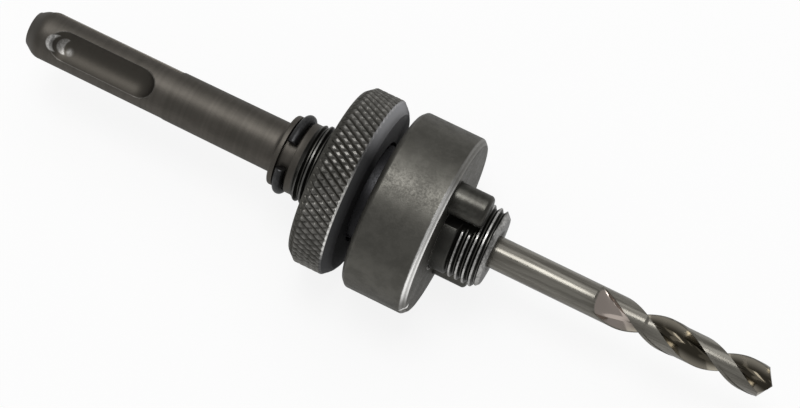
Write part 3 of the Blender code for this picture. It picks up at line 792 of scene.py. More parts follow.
@dataclass
class ArborBody(Piece):
    """Shank, neck, flange, rear thread, sliding length and threaded nose, in one piece."""

    thread: ThreadForm = field(default_factory=ThreadForm)
    columns: int = 144
    rear_end: float = -89.2
    shank_radius: float = 5.0
    tip_radius: float = 3.45
    tip_length: float = 2.3
    groove_roll: float = 24.0
    groove_half_turn: float = 36.4
    groove_ball: float = 4.2
    groove_centre: float = 7.0
    groove_low: float = -80.307
    groove_high: float = -65.093
    dimple_ball: float = 3.2
    dimple_centre: float = 7.75
    dimple_station: float = -82.81
    keyway_floor: float = 3.6
    keyway_half_turn: float = 19.6
    keyway_end: float = -58.2
    keyway_run_out: float = 2.0
    wall_rise: float = 60.0
    tip_round: float = 0.7
    groove_round: float = 0.10
    edge_round: float = 0.06
    edge_offsets: tuple[float, ...] = (-0.8, -0.4, -0.2, -0.1, 0.1, 0.2, 0.4, 0.8)
    tip_reach: float = 1.6
    neck_radius: float = 5.1
    neck_fillet: float = 1.1
    flange_radius: float = 7.15
    flange_round: float = 0.9
    flange_rear: float = -34.85
    ring_groove: tuple[float, float, float] = (-33.7, -31.1, 5.87)
    relief_radius: float = 7.2
    thread_rear: float = -29.7
    thread_front: float = -16.5
    rear_crest: float = -27.7
    nose_crest: float = 3.69
    run_in: float = 0.9
    run_out: float = 1.0
    nose_plain_front: float = 2.5
    nose_run_in: float = 0.8
    nose_face: float = 9.9
    nose_chamfer: float = 1.1
    flat_half_width: float = 7.25
    flat_roll: float = -13.0
    flat_rear: float = -12.95
    flat_front: float = 6.2
    mill_reach: float = 12.0
    bore_radius: float = 3.475
    bore_mouth: float = 0.9
    bore_end: float = -20.1
    bore_point_angle: float = 118.0
    joint_station: float = -14.0
    screw_station: float = 2.9
    screw_hole_radius: float = 2.8
    screw_hole_span: Span = (1.0, 9.0)
    seam: float = 0.3
    end_seam: float = 0.15

    def shank_rolls(self) -> np.ndarray:
        """Rolls of the shank's columns, closer at the edges of its grooves.

        Returns:
            The rolls, over a whole turn.
        """
        rolls = list(np.arange(0.0, 360.0, 1.5))
        for side in (0.0, 180.0):
            for half in (-self.groove_half_turn, self.groove_half_turn):
                edge = self.groove_roll + half
                rolls += list(edge + side + np.arange(-1.4, 1.5, 0.28))
            for edge in (-self.keyway_half_turn, self.keyway_half_turn):
                centre = self.groove_roll + 90.0 + side + edge
                rolls += [centre + offset for offset in self.edge_offsets]
        return np.append(thinned(np.mod(rolls, 360.0), 0.09), 360.0)

    def shank_stations(self) -> np.ndarray:
        """Stations of the shank's rows, closer at the ends of its grooves.

        Returns:
            The stations, rising.
        """
        reach = math.sqrt(self.groove_ball**2 - (self.groove_centre - self.shank_radius) ** 2)
        rows = list(np.arange(self.rear_end, self.keyway_end, 0.55)) + [self.keyway_end]
        low, high = self.groove_low - reach, self.groove_high + reach
        rows += list(np.arange(low - 0.5, low + 2.6, 0.13))
        rows += list(np.arange(high - 1.7, high + 0.3, 0.12))
        rows += list(np.arange(self.keyway_end - self.keyway_run_out - 0.2, self.keyway_end, 0.14))
        rows += list(self.rear_end + self.tip_length + np.arange(-1.2, 1.7, 0.2))
        return thinned(rows, 0.05)

    def hollow(self, away: np.ndarray, off: np.ndarray, centre: float, ball: float) -> np.ndarray:
        """Radius of the floor that a round-ended cutter leaves.

        Args:
            away: Angle from the cutter's roll, in radians.
            off: Distance along the axis beyond the cutter's straight length.
            centre: Distance of the cutter's centre line from the axis.
            ball: The cutter's radius.

        Returns:
            The radius, large where the cutter doesn't reach.
        """
        inside = ball**2 - off**2 - (centre * np.sin(away)) ** 2
        floor = centre * np.cos(away) - np.sqrt(np.maximum(inside, 0.0))
        slope = np.sqrt(np.maximum(-inside, 0.0))
        return np.where(np.cos(away) > 0.5, floor + slope, FAR)

    def shank(self, stations: np.ndarray, rolls: np.ndarray) -> np.ndarray:
        """Radii of the grooved shank over rows of stations and columns of rolls.

        Args:
            stations: Stations of the rows.
            rolls: Rolls of the columns, over a whole turn.

        Returns:
            Rows and columns of radii.
        """
        station, roll = np.meshgrid(stations, rolls, indexing="ij")
        tip_end = self.rear_end + self.tip_length
        rise = (self.shank_radius - self.tip_radius) / self.tip_length
        slope = self.tip_radius + (station - self.rear_end) * rise
        radius = soft_least(np.full_like(station, self.shank_radius), slope, self.tip_round)
        radius = np.where(station > tip_end + self.tip_reach, self.shank_radius, radius)
        for side in (0.0, 180.0):
            away = away_from(roll, self.groove_roll + side)
            off = np.maximum(self.groove_low - station, station - self.groove_high).clip(0.0)
            groove = self.hollow(away, off, self.groove_centre, self.groove_ball)
            radius = soft_least(radius, groove, self.groove_round)
            off = station - self.dimple_station
            dimple = self.hollow(away, off, self.dimple_centre, self.dimple_ball)
            radius = soft_least(radius, dimple, self.edge_round)
            away = away_from(roll, self.groove_roll + 90.0 + side)
            lift = (station - self.keyway_end + self.keyway_run_out).clip(0.0) / self.keyway_run_out
            floor = self.keyway_floor + lift * (self.shank_radius + 0.1 - self.keyway_floor)
            floor = floor / np.cos(away)
            wall = self.wall_rise * (np.degrees(np.abs(away)) - self.keyway_half_turn).clip(0.0)
            floor = np.where(np.cos(away) > 0.5, floor + wall, FAR)
            radius = soft_least(radius, floor, self.edge_round)
        return radius

    def nose(self, rolls: np.ndarray) -> bpy.types.Mesh:
        """The sliding length and the threaded nose, open at the rear, with flats and screw hole.

        Args:
            rolls: Rolls of the columns, over a whole turn.

        Returns:
            The mesh.
        """
        axis, crest = self.shop.axis, self.thread.crest_radius
        skin = Skin()
        joint, face = self.joint_station, self.nose_face
        tip = crest - self.nose_chamfer
        inner = [
            (joint, crest, 0.0),
            (joint, self.bore_radius, 0.0),
            (face - self.bore_mouth, self.bore_radius, 0.1),
            (face, self.bore_radius + self.bore_mouth, 0.12),
            (face, tip, 0.0),
        ]
        skin.add_grid(self.shop.turned(rounded(inner), rolls))
        plain = np.array([(station, crest) for station in np.linspace(joint, self.nose_plain_front, 6)])
        skin.add_grid(self.shop.turned(plain, rolls))
        blank = [(self.nose_plain_front, crest), (face - self.nose_chamfer, crest), (face, tip)]
        shares = [(self.nose_plain_front, 0.0), (self.nose_plain_front + self.nose_run_in, 1.0)]
        skin.add_grid(self.thread.sleeve(axis, self.nose_crest, blank, shares, rolls))
        tools = [self.flat_tool(side) for side in (0.0, 180.0)] + [self.screw_tool()]
        cut = cut_away(skin.mesh("nose"), tools)
        solid = bmesh.new()
        solid.from_mesh(cut)
        limit = (joint + axis.origin_x + 0.002) * MM
        caps = [part for part in solid.faces if all(v.co.x < limit for v in part.verts)]
        bmesh.ops.delete(solid, geom=caps, context="FACES")
        solid.to_mesh(cut)
        solid.free()
        return cut

    def flat_tool(self, side: float) -> bpy.types.Mesh:
        """A block that mills the flat on one side of the sliding length.

        Args:
            side: 0 or 180 degrees, for the flat that it mills.

        Returns:
            The mesh.
        """
        low, high, wide = self.flat_half_width, self.mill_reach, self.mill_reach
        corners = np.array([(low, wide), (low, -wide), (high, -wide), (high, wide), (low, wide)])
        roll = self.flat_roll + side
        ring = np.column_stack(polar(corners[:, 0], corners[:, 1], roll))
        centre = np.tile([[(low + high) / 2, roll]], (len(ring), 1))
        ends = (self.flat_rear, self.flat_front)
        skin = Skin()
        for station in ends:
            cap = [self.shop.axis.place(station, part[:, 0], part[:, 1]) for part in (ring, centre)]
            skin.add_grid(np.stack(cap))
        sides = [self.shop.axis.place(end, ring[:, 0], ring[:, 1]) for end in ends]
        skin.add_grid(np.stack(sides))
        return skin.mesh("flat")

    def screw_tool(self) -> bpy.types.Mesh:
        """A radial rod that bores the set screw's hole from the middle outwards.

        Returns:
            The mesh.
        """
        low, high = self.screw_hole_span
        turns = np.radians(even_rolls(48))
        grid = []
        for out, size in ((low, 0.0), (low, 1.0), (high, 1.0), (high, 0.0)):
            across = size * self.screw_hole_radius * np.sin(turns)
            station = self.screw_station + size * self.screw_hole_radius * np.cos(turns)
            grid.append(self.shop.axis.place(station, *polar(out, across, self.flat_roll - 90.0)))
        skin = Skin()
        skin.add_grid(np.stack(grid))
        return skin.mesh("screw_hole")

    def build(self) -> bpy.types.Mesh:
        """The whole body as one closed mesh.

        Returns:
            The mesh.
        """
        axis, crest = self.shop.axis, self.thread.crest_radius
        rolls, dense = even_rolls(self.columns), self.shank_rolls()
        rear, front, floor = self.ring_groove
        skin = Skin()
        point = math.radians(self.bore_point_angle / 2.0)
        bore_tip = self.bore_end - self.bore_radius / math.tan(point)
        bore = [(station, self.bore_radius) for station in (self.joint_station, self.bore_end)]
        bore.append((bore_tip, 0.0))
        skin.add_grid(self.shop.turned(np.array(bore), rolls))
        plain = np.array([(self.joint_station, crest), (self.thread_front, crest)])
        skin.add_grid(self.shop.turned(plain, rolls))
        blank = [
            (self.thread_rear, self.relief_radius),
            (self.thread_rear + self.run_in, crest),
            (self.thread_front, crest),
        ]
        shares = [(self.thread_front - self.run_out, 1.0), (self.thread_front, 0.0)]
        skin.add_grid(self.thread.sleeve(axis, self.rear_crest, blank, shares, rolls))
        relief = [
            (self.thread_rear, self.relief_radius, 0.0),
            (front, self.relief_radius, 0.12),
            (front, floor, 0.25),
            (rear, floor, 0.0),
        ]
        skin.add_grid(self.shop.turned(rounded(relief), rolls))
        low = self.shop.turned(np.array([(rear, floor)]), rolls)[0]
        high = self.shop.turned(np.array([(rear, floor + self.seam)]), dense)[0]
        skin.stitch(low, high, (rolls, dense))
        flange = [
            (rear, floor + self.seam, 0.0),
            (rear, self.flange_radius, 0.12),
            (self.flange_rear, self.flange_radius, self.flange_round * 1.1),
            (self.flange_rear, self.neck_radius, self.neck_fillet * 1.2),
            (self.keyway_end, self.shank_radius, 0.0),
        ]
        skin.add_grid(self.shop.turned(rounded(flange, 7), dense))
        stations = self.shank_stations()
        radii = self.shank(stations, dense)
        skin.add_grid(axis.place(stations[:, None], radii, dense[None, :]))
        end = np.stack([radii[0], radii[0] - self.end_seam, np.zeros_like(radii[0])])
        skin.add_grid(axis.place(np.full((3, 1), self.rear_end), end, dense[None, :]))
        body = skin.mesh("rear")
        return join_meshes([body, self.nose(rolls)], "arbor_body")


def join_meshes(meshes: list[bpy.types.Mesh], name: str) -> bpy.types.Mesh:
    """Welds meshes that share their open edges into one closed mesh.

    Args:
        meshes: The meshes.
        name: The joined mesh's name.

    Returns:
        The joined mesh.
    """
    solid = bmesh.new()
    for mesh in meshes:
        solid.from_mesh(mesh)
    bmesh.ops.remove_doubles(solid, verts=solid.verts, dist=0.000002)
    bmesh.ops.recalc_face_normals(solid, faces=solid.faces)
    joined = bpy.data.meshes.new(name)
    solid.to_mesh(joined)
    solid.free()
    return joined


@dataclass
class LockNut(Piece):
    """Round nut with a diamond knurl between two bevels and a counterbore for the hub."""

    rim_radius: float = 18.18
    front: float = -16.06
    rear: float = -24.75
    front_bevel: tuple[Span, ...] = (
        (1.8, 0.0),
        (1.46, 0.36),
        (0.95, 0.78),
        (0.45, 1.32),
        (0.0, 2.1),
    )
    rear_bevel: Span = (1.5, 1.3)
    diamonds: int = 76
    knurl_pitch: float = 2.6
    knurl_depth: float = 0.42
    cross_depth: float = 0.24
    flanks: tuple[int, int] = (4, 3)
    nodes: int = 12
    columns: int = 144
    margin: float = 0.1
    fade_in: Span = (0.2, 0.9)
    seam: float = 0.3
    counterbore: Span = (10.3, 3.95)
    ring_groove: Span = (-17.91, 0.75)
    groove_depth: float = 0.3
    bore_radius: float = 8.24
    bore_chamfer: float = 0.6

    def grooves(self, phase: np.ndarray, depth: float, flank_nodes: int) -> np.ndarray:
        """Depth of one family of slanting grooves.

        Args:
            phase: Distance from the family's grooves, in turns of the family.
            depth: Depth of its grooves.
            flank_nodes: Nodes of the grid over which one flank falls.

        Returns:
            The depth at each place.
        """
        away = np.abs(phase - np.round(phase)) * self.nodes
        return depth * (1.0 - away / flank_nodes).clip(0.0)

    def rim(self) -> tuple[np.ndarray, np.ndarray]:
        """Points of the knurled rim with its bevels, and which way each cell is cut.

        Returns:
            Rows and columns of points, and for each cell True to cut it from its first corner.
        """
        column = np.arange(self.diamonds * self.nodes + 1)
        step = self.knurl_pitch / self.nodes
        middle = (self.front + self.rear) / 2.0
        reach = math.ceil((self.front - middle) / step)
        row = np.arange(-reach, reach + 1)
        inside = np.abs(row * step) < (self.front - self.rear) / 2.0 - self.margin
        row = row[inside][:, None]
        left = self.grooves((column[None, :] - row) / self.nodes, self.knurl_depth, self.flanks[0])
        right = self.grooves((column[None, :] + row) / self.nodes, self.cross_depth, self.flanks[1])
        station = middle + row * step
        fade = ease(station, *(self.rear + after for after in self.fade_in))
        rolled = self.behind(station) - np.maximum(left, right) * fade
        radius = np.minimum(rolled, self.ahead(station))
        roll = np.mod(column, self.diamonds * self.nodes) * 360.0 / (self.diamonds * self.nodes)
        grid = self.shop.axis.place(station, radius, roll[None, :])
        edges = []
        for end, drop in ((self.rear, self.rear_bevel[1]), (self.front, self.front_bevel[-1][1])):
            edges.append(self.shop.axis.place(end, self.rim_radius - drop, roll[None, :]))
        grid = np.concatenate([edges[0], grid, edges[1]])
        mean_left = (left[:-1, :-1] + left[1:, 1:]) / 2.0
        mean_right = (right[:-1, 1:] + right[1:, :-1]) / 2.0
        rising = np.ones((len(grid) - 1, len(column) - 1), bool)
        rising[1:-1] = mean_left >= mean_right
        return grid, rising

    def ahead(self, station: np.ndarray) -> np.ndarray:
        """Radius that the rounded front bevel leaves, with its narrow chamfer next to the knurl."""
        stations = [self.front - before for before, _ in self.front_bevel]
        return self.rim_radius - np.interp(station, stations, [drop for _, drop in self.front_bevel])

    def behind(self, station: np.ndarray) -> np.ndarray:
        """Radius that the rear bevel leaves."""
        long, deep = self.rear_bevel
        return self.rim_radius - deep * ((self.rear + long - station) / long).clip(0.0)

    def build(self) -> bpy.types.Mesh:
        """The nut as one closed mesh.

        Returns:
            The mesh.
        """
        skin = Skin()
        skin.add_split_grid(*self.rim())
        rolls = even_rolls(self.columns)
        dense = even_rolls(self.diamonds * self.nodes)
        radius, depth = self.counterbore
        floor, (ring, half) = self.front - depth, self.ring_groove
        profile = [
            (self.front, self.rim_radius - self.front_bevel[-1][1] - self.seam, 0.0),
            (self.front, radius, 0.2),
            (ring + half, radius, 0.05),
            (ring + half, radius + self.groove_depth, 0.0),
            (ring - half, radius + self.groove_depth, 0.0),
            (ring - half, radius, 0.05),
            (floor, radius, 0.2),
            (floor, self.bore_radius, 0.1),
            (self.rear + self.bore_chamfer, self.bore_radius, 0.1),
            (self.rear, self.bore_radius + self.bore_chamfer, 0.1),
            (self.rear, self.rim_radius - self.rear_bevel[1] - self.seam, 0.0),
        ]
        skin.add_grid(self.shop.turned(rounded(profile), rolls))
        for end, drop in ((self.rear, self.rear_bevel[1]), (self.front, self.front_bevel[-1][1])):
            edge = self.rim_radius - drop
            low = self.shop.turned(np.array([(end, edge - self.seam)]), rolls)[0]
            high = self.shop.turned(np.array([(end, edge)]), dense)[0]
            skin.stitch(low, high, (rolls, dense))
        return skin.mesh("lock_nut")


@dataclass
class DriveCollar(Piece):
    """Plain round collar with its hub, flat-sided bore and pin holes."""

    rim_radius: float = 18.18
    thickness: float = 13.35
    chamfer: float = 0.92
    hub_radius: float = 9.6
    hub_end: float = -19.71
    hub_bore: float = 8.34
    ring_groove: tuple[float, float, float] = (-17.91, 0.75, 9.2)
    flat_bore_length: float = 8.0
    bore_radius: float = 8.08
    bore_half_width: float = 7.39
    bore_flare: float = 0.26
    pin_roll: float = -13.0
    pin_circle: float = 11.9
    pin_hole: float = 3.225
    pin_depth: float = 8.0
    nick_roll: float = 95.0
    nick_station: float = -0.35
    nick_depth: float = 1.1
    nick_length: float = 0.6
    nick_half_turn: float = 3.0
    nick_zone: Span = (1.6, 1.8)
    nick_reach: float = 8.0
    columns: int = 240

    def rolls(self) -> np.ndarray:
        """Rolls of the collar's columns, closer round the nick in its rim.

        Returns:
            The rolls, over a whole turn.
        """
        near = self.nick_roll + np.arange(-self.nick_reach, self.nick_reach + 0.1, 0.5)
        return thinned(np.concatenate([even_rolls(self.columns), near]), 0.1)

    def blank(self) -> bpy.types.Mesh:
        """The turned collar before its bore and pin holes are cut.

        Returns:
            The mesh.
        """
        ring, half, ring_floor = self.ring_groove
        rim, hub = self.rim_radius, self.hub_radius
        start = -self.flat_bore_length
        narrow = self.bore_half_width - 0.3
        profile = [
            (0.0, narrow, 0.0),
            (0.0, rim - self.chamfer, 0.3),
            (-self.chamfer, rim, 0.3),
            (-self.thickness + self.chamfer, rim, 0.3),
            (-self.thickness, rim - self.chamfer, 0.3),
            (-self.thickness, hub, 0.3),
            (ring + half, hub, 0.08),
            (ring + half, ring_floor, 0.1),
            (ring - half, ring_floor, 0.1),
            (ring - half, hub, 0.08),
            (self.hub_end + 0.3, hub, 0.1),
            (self.hub_end, hub - 0.3, 0.1),
            (self.hub_end, self.hub_bore, 0.1),
            (start, self.hub_bore, 0.0),
            (start, narrow, 0.0),
            (0.0, narrow, 0.0),
        ]
        outline = rounded(profile)
        long, deep = self.nick_zone
        near = np.flatnonzero((outline[:, 0] > -long) & (outline[:, 1] > rim - deep))
        places = np.arange(near[0], near[-1] + 0.01, 0.25)
        fine = [np.interp(places, np.arange(len(outline)), column) for column in outline.T]
        outline = np.concatenate([outline[: near[0]], np.column_stack(fine), outline[near[-1] + 1 :]])
        rolls = self.rolls()
        station, radius = outline[:, :1], outline[:, 1:2]
        along = ((station - self.nick_station) / self.nick_length) ** 2
        around = ((rolls[None, :] - self.nick_roll) / self.nick_half_turn) ** 2
        dent = self.nick_depth * np.exp(-(along + around)) * (radius > rim - 2.0)
        skin = Skin()
        skin.add_grid(self.shop.axis.place(station, radius - dent, rolls[None, :]))
        return skin.mesh("drive_collar")

    def bore_tool(self) -> bpy.types.Mesh:
        """A rod with two flats and a flared end, which cuts the bore and its mouth.

        Returns:
            The mesh.
        """
        corner = math.degrees(math.acos(self.bore_half_width / self.bore_radius))
        ring = []
        for side in (0.0, 180.0):
            for turn in np.linspace(corner, 180.0 - corner, 40):
                ring.append((self.bore_radius, self.pin_roll + side + turn))
        ring.append((self.bore_radius, self.pin_roll + corner + 360.0))
        ring = np.array(ring)
        rows = []
        low = -self.flat_bore_length - 0.5
        flare = self.bore_flare
        for station, wider in ((low, 0.0), (-flare, 0.0), (flare, 2 * flare)):
            rows.append(self.shop.axis.place(station, ring[:, 0] + wider, ring[:, 1]))
        caps = [self.shop.axis.place(end, ring[:, 0] * 0.0, ring[:, 1]) for end in (low, flare)]
        skin = Skin()
        skin.add_grid(np.stack([caps[0], *rows, caps[1]]))
        return skin.mesh("bore")

    def pin_tool(self, side: float) -> bpy.types.Mesh:
        """A rod that bores the hole of one pin, with a small chamfer at its mouth.

        Args:
            side: 0 or 180 degrees, for the pin that it bores.

        Returns:
            The mesh.
        """
        hole = self.pin_hole
        outline = [(-self.pin_depth, 0.0), (-self.pin_depth, hole)]
        outline += [(-0.1, hole), (0.2, hole + 0.3), (0.2, 0.0)]
        roll = self.pin_roll + side
        return beside_axis(self.shop, "pin_hole", np.array(outline), self.pin_circle, roll)

    def build(self) -> bpy.types.Mesh:
        """The collar as one closed mesh."""
        tools = [self.bore_tool(), self.pin_tool(0.0), self.pin_tool(180.0)]
        return cut_away(self.blank(), tools)


def beside_axis(
    shop: Workshop, name: str, outline: np.ndarray, distance: float, roll: float, columns: int = 96
) -> bpy.types.Mesh:
    """Turns an outline about a line beside the arbor's axis.

    Args:
        shop: The workshop that knows the axis.
        name: The mesh's name.
        outline: Stations and radii about that line.
        distance: Distance of the line from the arbor's axis.
        roll: Roll of the line.
        columns: Facets round the line.

    Returns:
        The closed mesh.
    """
    turns = np.radians(even_rolls(columns))
    centre = math.radians(roll)
    up = distance * math.cos(centre) + outline[:, 1:2] * np.cos(turns)
    front = distance * math.sin(centre) + outline[:, 1:2] * np.sin(turns)
    skin = Skin()
    radius, turn = np.hypot(up, front), np.degrees(np.arctan2(front, up))
    skin.add_grid(shop.axis.place(outline[:, :1], radius, turn))
    return skin.mesh(name)


@dataclass
class DrivePin(Piece):
    """One of the two hardened pins that drive the saw."""

    roll: float
    radius: float = 3.175
    circle: float = 11.9
    front: float = 6.85
    rear: float = -7.7
    chamfer: float = 0.5

    def build(self) -> bpy.types.Mesh:
        """The pin as one closed mesh, with a lightly rounded end.

        Returns:
            The mesh.
        """
        size, edge = self.radius, self.chamfer
        profile = [
            (self.rear, 0.0, 0.0),
            (self.rear, size - edge, 0.1),
            (self.rear + edge, size, 0.1),
            (self.front - edge, size, 0.35),
            (self.front, size - edge, 0.3),
            (self.front, 0.0, 0.0),
        ]
        return beside_axis(self.shop, "pin", rounded(profile, 5), self.circle, self.roll)


@dataclass
class WireRing(Piece):
    """An open ring of round wire with cut ends."""

    station: float
    centre_radius: float
    wire_radius: float
    opening: float
    roll: float
    points: int = 180
    sides: int = 28
    end_share: float = 0.86
    end_bend: float = 0.12

    def build(self) -> bpy.types.Mesh:
        """The ring as one closed mesh.

        Returns:
            The mesh.
        """
        turns = np.linspace(self.opening / 2.0, 360.0 - self.opening / 2.0, self.points) + self.roll
        round_wire = np.radians(even_rolls(self.sides))
        bend = math.degrees(self.end_bend * self.wire_radius / self.centre_radius)
        rolls = [turns[0], turns[0], *turns[1:-1], turns[-1], turns[-1]]
        sizes = [0.0, self.end_share, *np.ones(len(turns) - 2), self.end_share, 0.0]
        rolls[2], rolls[-3] = turns[0] + bend, turns[-1] - bend
        size = self.wire_radius * np.array(sizes)[:, None]
        station = self.station + size * np.cos(round_wire)
        radius = self.centre_radius + size * np.sin(round_wire)
        skin = Skin()
        skin.add_grid(self.shop.axis.place(station, radius, np.array(rolls)[:, None]))
        return skin.mesh("ring")


@dataclass
class PilotDrill(Piece):
    """Twist drill with two flutes, lands with margins and a relieved point."""

    radius: float = 3.175
    rear: float = -18.1
    tip: float = 66.6
    end_chamfer: float = 0.5
    flute_start: float = 30.4
    flute_full: float = 39.4
    pitch: float = 32.7
    roll_at_tip: float = 88.0
    web_share: float = 0.19
    bottom_share: float = 0.4
    hollow_share: float = 0.8
    flute_lean: float = 48.0
    land: float = 73.0
    margin: float = 14.0
    clearance: float = 0.15
    clearance_start: float = 41.0
    point_half_angle: float = 60.0
    point_relief: float = 0.35
    point_length: float = 5.0
    row_step: float = 0.2
    flat_station: float = 2.9
    flat_half_length: float = 3.0
    flat_distance: float = 2.675
    flat_roll: float = -103.0

    def turns(self) -> np.ndarray:
        """Angles of the columns from the heel, over a whole turn, closer at the edges.

        Returns:
            The angles, in degrees.
        """
        step = self.land - self.margin
        half = list(np.linspace(0.0, step - 0.7, 18)) + [step, step + 0.7]
        half += list(np.linspace(step + 4.0, self.land, 4))
        half += list(self.land + np.array([0.6, 1.5]))
        half += list(np.linspace(self.land + 4.0, 176.0, 34)) + [178.5, 179.4]
        return np.array(half + [turn + 180.0 for turn in half] + [360.0])

    def flute(self, turn: np.ndarray) -> np.ndarray:
        """Radius of the fluted section as a share of the drill's, beyond 1 outside it.

        Args:
            turn: Angles from the heel, in degrees.

        Returns:
            The shares.
        """
        span = 180.0 - self.land
        bottom = self.land + self.bottom_share * span
        sides = self.bottom_share * span, (1.0 - self.bottom_share) * span
        half_width = np.where(turn < bottom, *sides)
        lean = np.radians(self.flute_lean) * (turn - bottom) / half_width
        hollow, distance = self.hollow_share, self.web_share + self.hollow_share
        inside = np.maximum(hollow**2 - (distance * np.sin(lean)) ** 2, 0.0)
        return distance * np.cos(lean) - np.sqrt(inside)

    def section(self, station: np.ndarray, turn: np.ndarray) -> np.ndarray:
        """Radii of the drill over stations and angles from the heel.

        Args:
            station: Stations.
            turn: Angles from the heel, in degrees.

        Returns:
            The radii.
        """
        turn = np.mod(turn, 180.0)
        relieved = ease(station, self.clearance_start - 0.25, self.clearance_start + 0.1)
        clear = self.radius - self.clearance * relieved
        land = np.where(turn <= self.land - self.margin + 0.01, clear, self.radius)
        land = np.where(turn > self.land + 0.01, np.minimum(clear, self.radius - 0.02), land)
        depth = self.radius * (1.0 - self.web_share)
        sweep = self.flute_full - self.flute_start
        curve = (depth**2 + sweep**2) / (2.0 * depth)
        short = (self.flute_full - station).clip(0.0, sweep)
        lift = curve - np.sqrt(curve**2 - short**2)
        floor = self.radius * self.flute(turn) + lift
        in_flute = (turn > self.land + 0.01) & (turn < 179.99)
        return np.where(in_flute, np.minimum(floor, land), land)

    def heel(self, station: np.ndarray) -> np.ndarray:
        """Roll of the heel at a station."""
        past = np.maximum(station, self.flute_start) - self.tip
        return self.roll_at_tip + 360.0 * past / self.pitch

    def cone(self, radius: np.ndarray, turn: np.ndarray) -> np.ndarray:
        """Station of the ground point at a radius and an angle from the heel.

        Args:
            radius: Radii.
            turn: Angles from the heel, in degrees.

        Returns:
            The stations.
        """
        behind = 1.0 - np.minimum(np.mod(turn, 180.0), self.land) / self.land
        drop = self.point_relief * behind * radius / self.radius
        return self.tip - radius / math.tan(math.radians(self.point_half_angle)) - drop

    def build(self) -> bpy.types.Mesh:
        """The drill as one closed mesh.

        Returns:
            The mesh.
        """
        turns = self.turns()[None, :]
        shank = [
            (self.rear, 0.0, 0.0),
            (self.rear, self.radius - self.end_chamfer, 0.1),
            (self.rear + self.end_chamfer, self.radius, 0.1),
            (self.flat_station - self.flat_half_length - 0.05, self.radius, 0.0),
        ]
        skin, axis = Skin(), self.shop.axis
        shank_outline = rounded(shank)
        base = self.heel(np.array(self.rear)) + turns
        skin.add_grid(axis.place(shank_outline[:, :1], shank_outline[:, 1:2], base))
        low, high = self.flat_station - self.flat_half_length, self.flat_station + self.flat_half_length
        start = shank[-1][0]
        rows = np.array([start, low, high, high + 0.05, *np.linspace(high + 2.0, self.flute_start, 9)])
        away = away_from(base, self.flat_roll)
        flat = np.where(np.cos(away) > 0.5, self.flat_distance / np.cos(away), FAR)
        within = ((rows >= low) & (rows <= high))[:, None]
        plain = np.where(within, np.minimum(self.radius, flat), self.radius)
        skin.add_grid(axis.place(rows[:, None], plain, base))
        full = self.section(np.full_like(turns, self.tip), turns)
        wall_end = self.cone(full, turns)
        split = self.tip - self.point_length
        fluted = np.arange(self.flute_start, split, self.row_step)
        share = np.linspace(0.0, 1.0, 22)[:, None]
        even = np.broadcast_to(fluted[:, None], (len(fluted), turns.shape[1]))
        stations = np.concatenate([even, split + share * (wall_end - split)])
        radii = self.section(stations, turns)
        radii[0] = self.radius
        skin.add_grid(axis.place(stations, radii, self.heel(stations) + turns))
        inward = np.linspace(1.0, 0.0, 16)[:, None]
        face = full * inward
        level = self.cone(face, turns)
        skin.add_grid(axis.place(level, face, self.heel(level) + turns))
        return skin.mesh("pilot_drill")


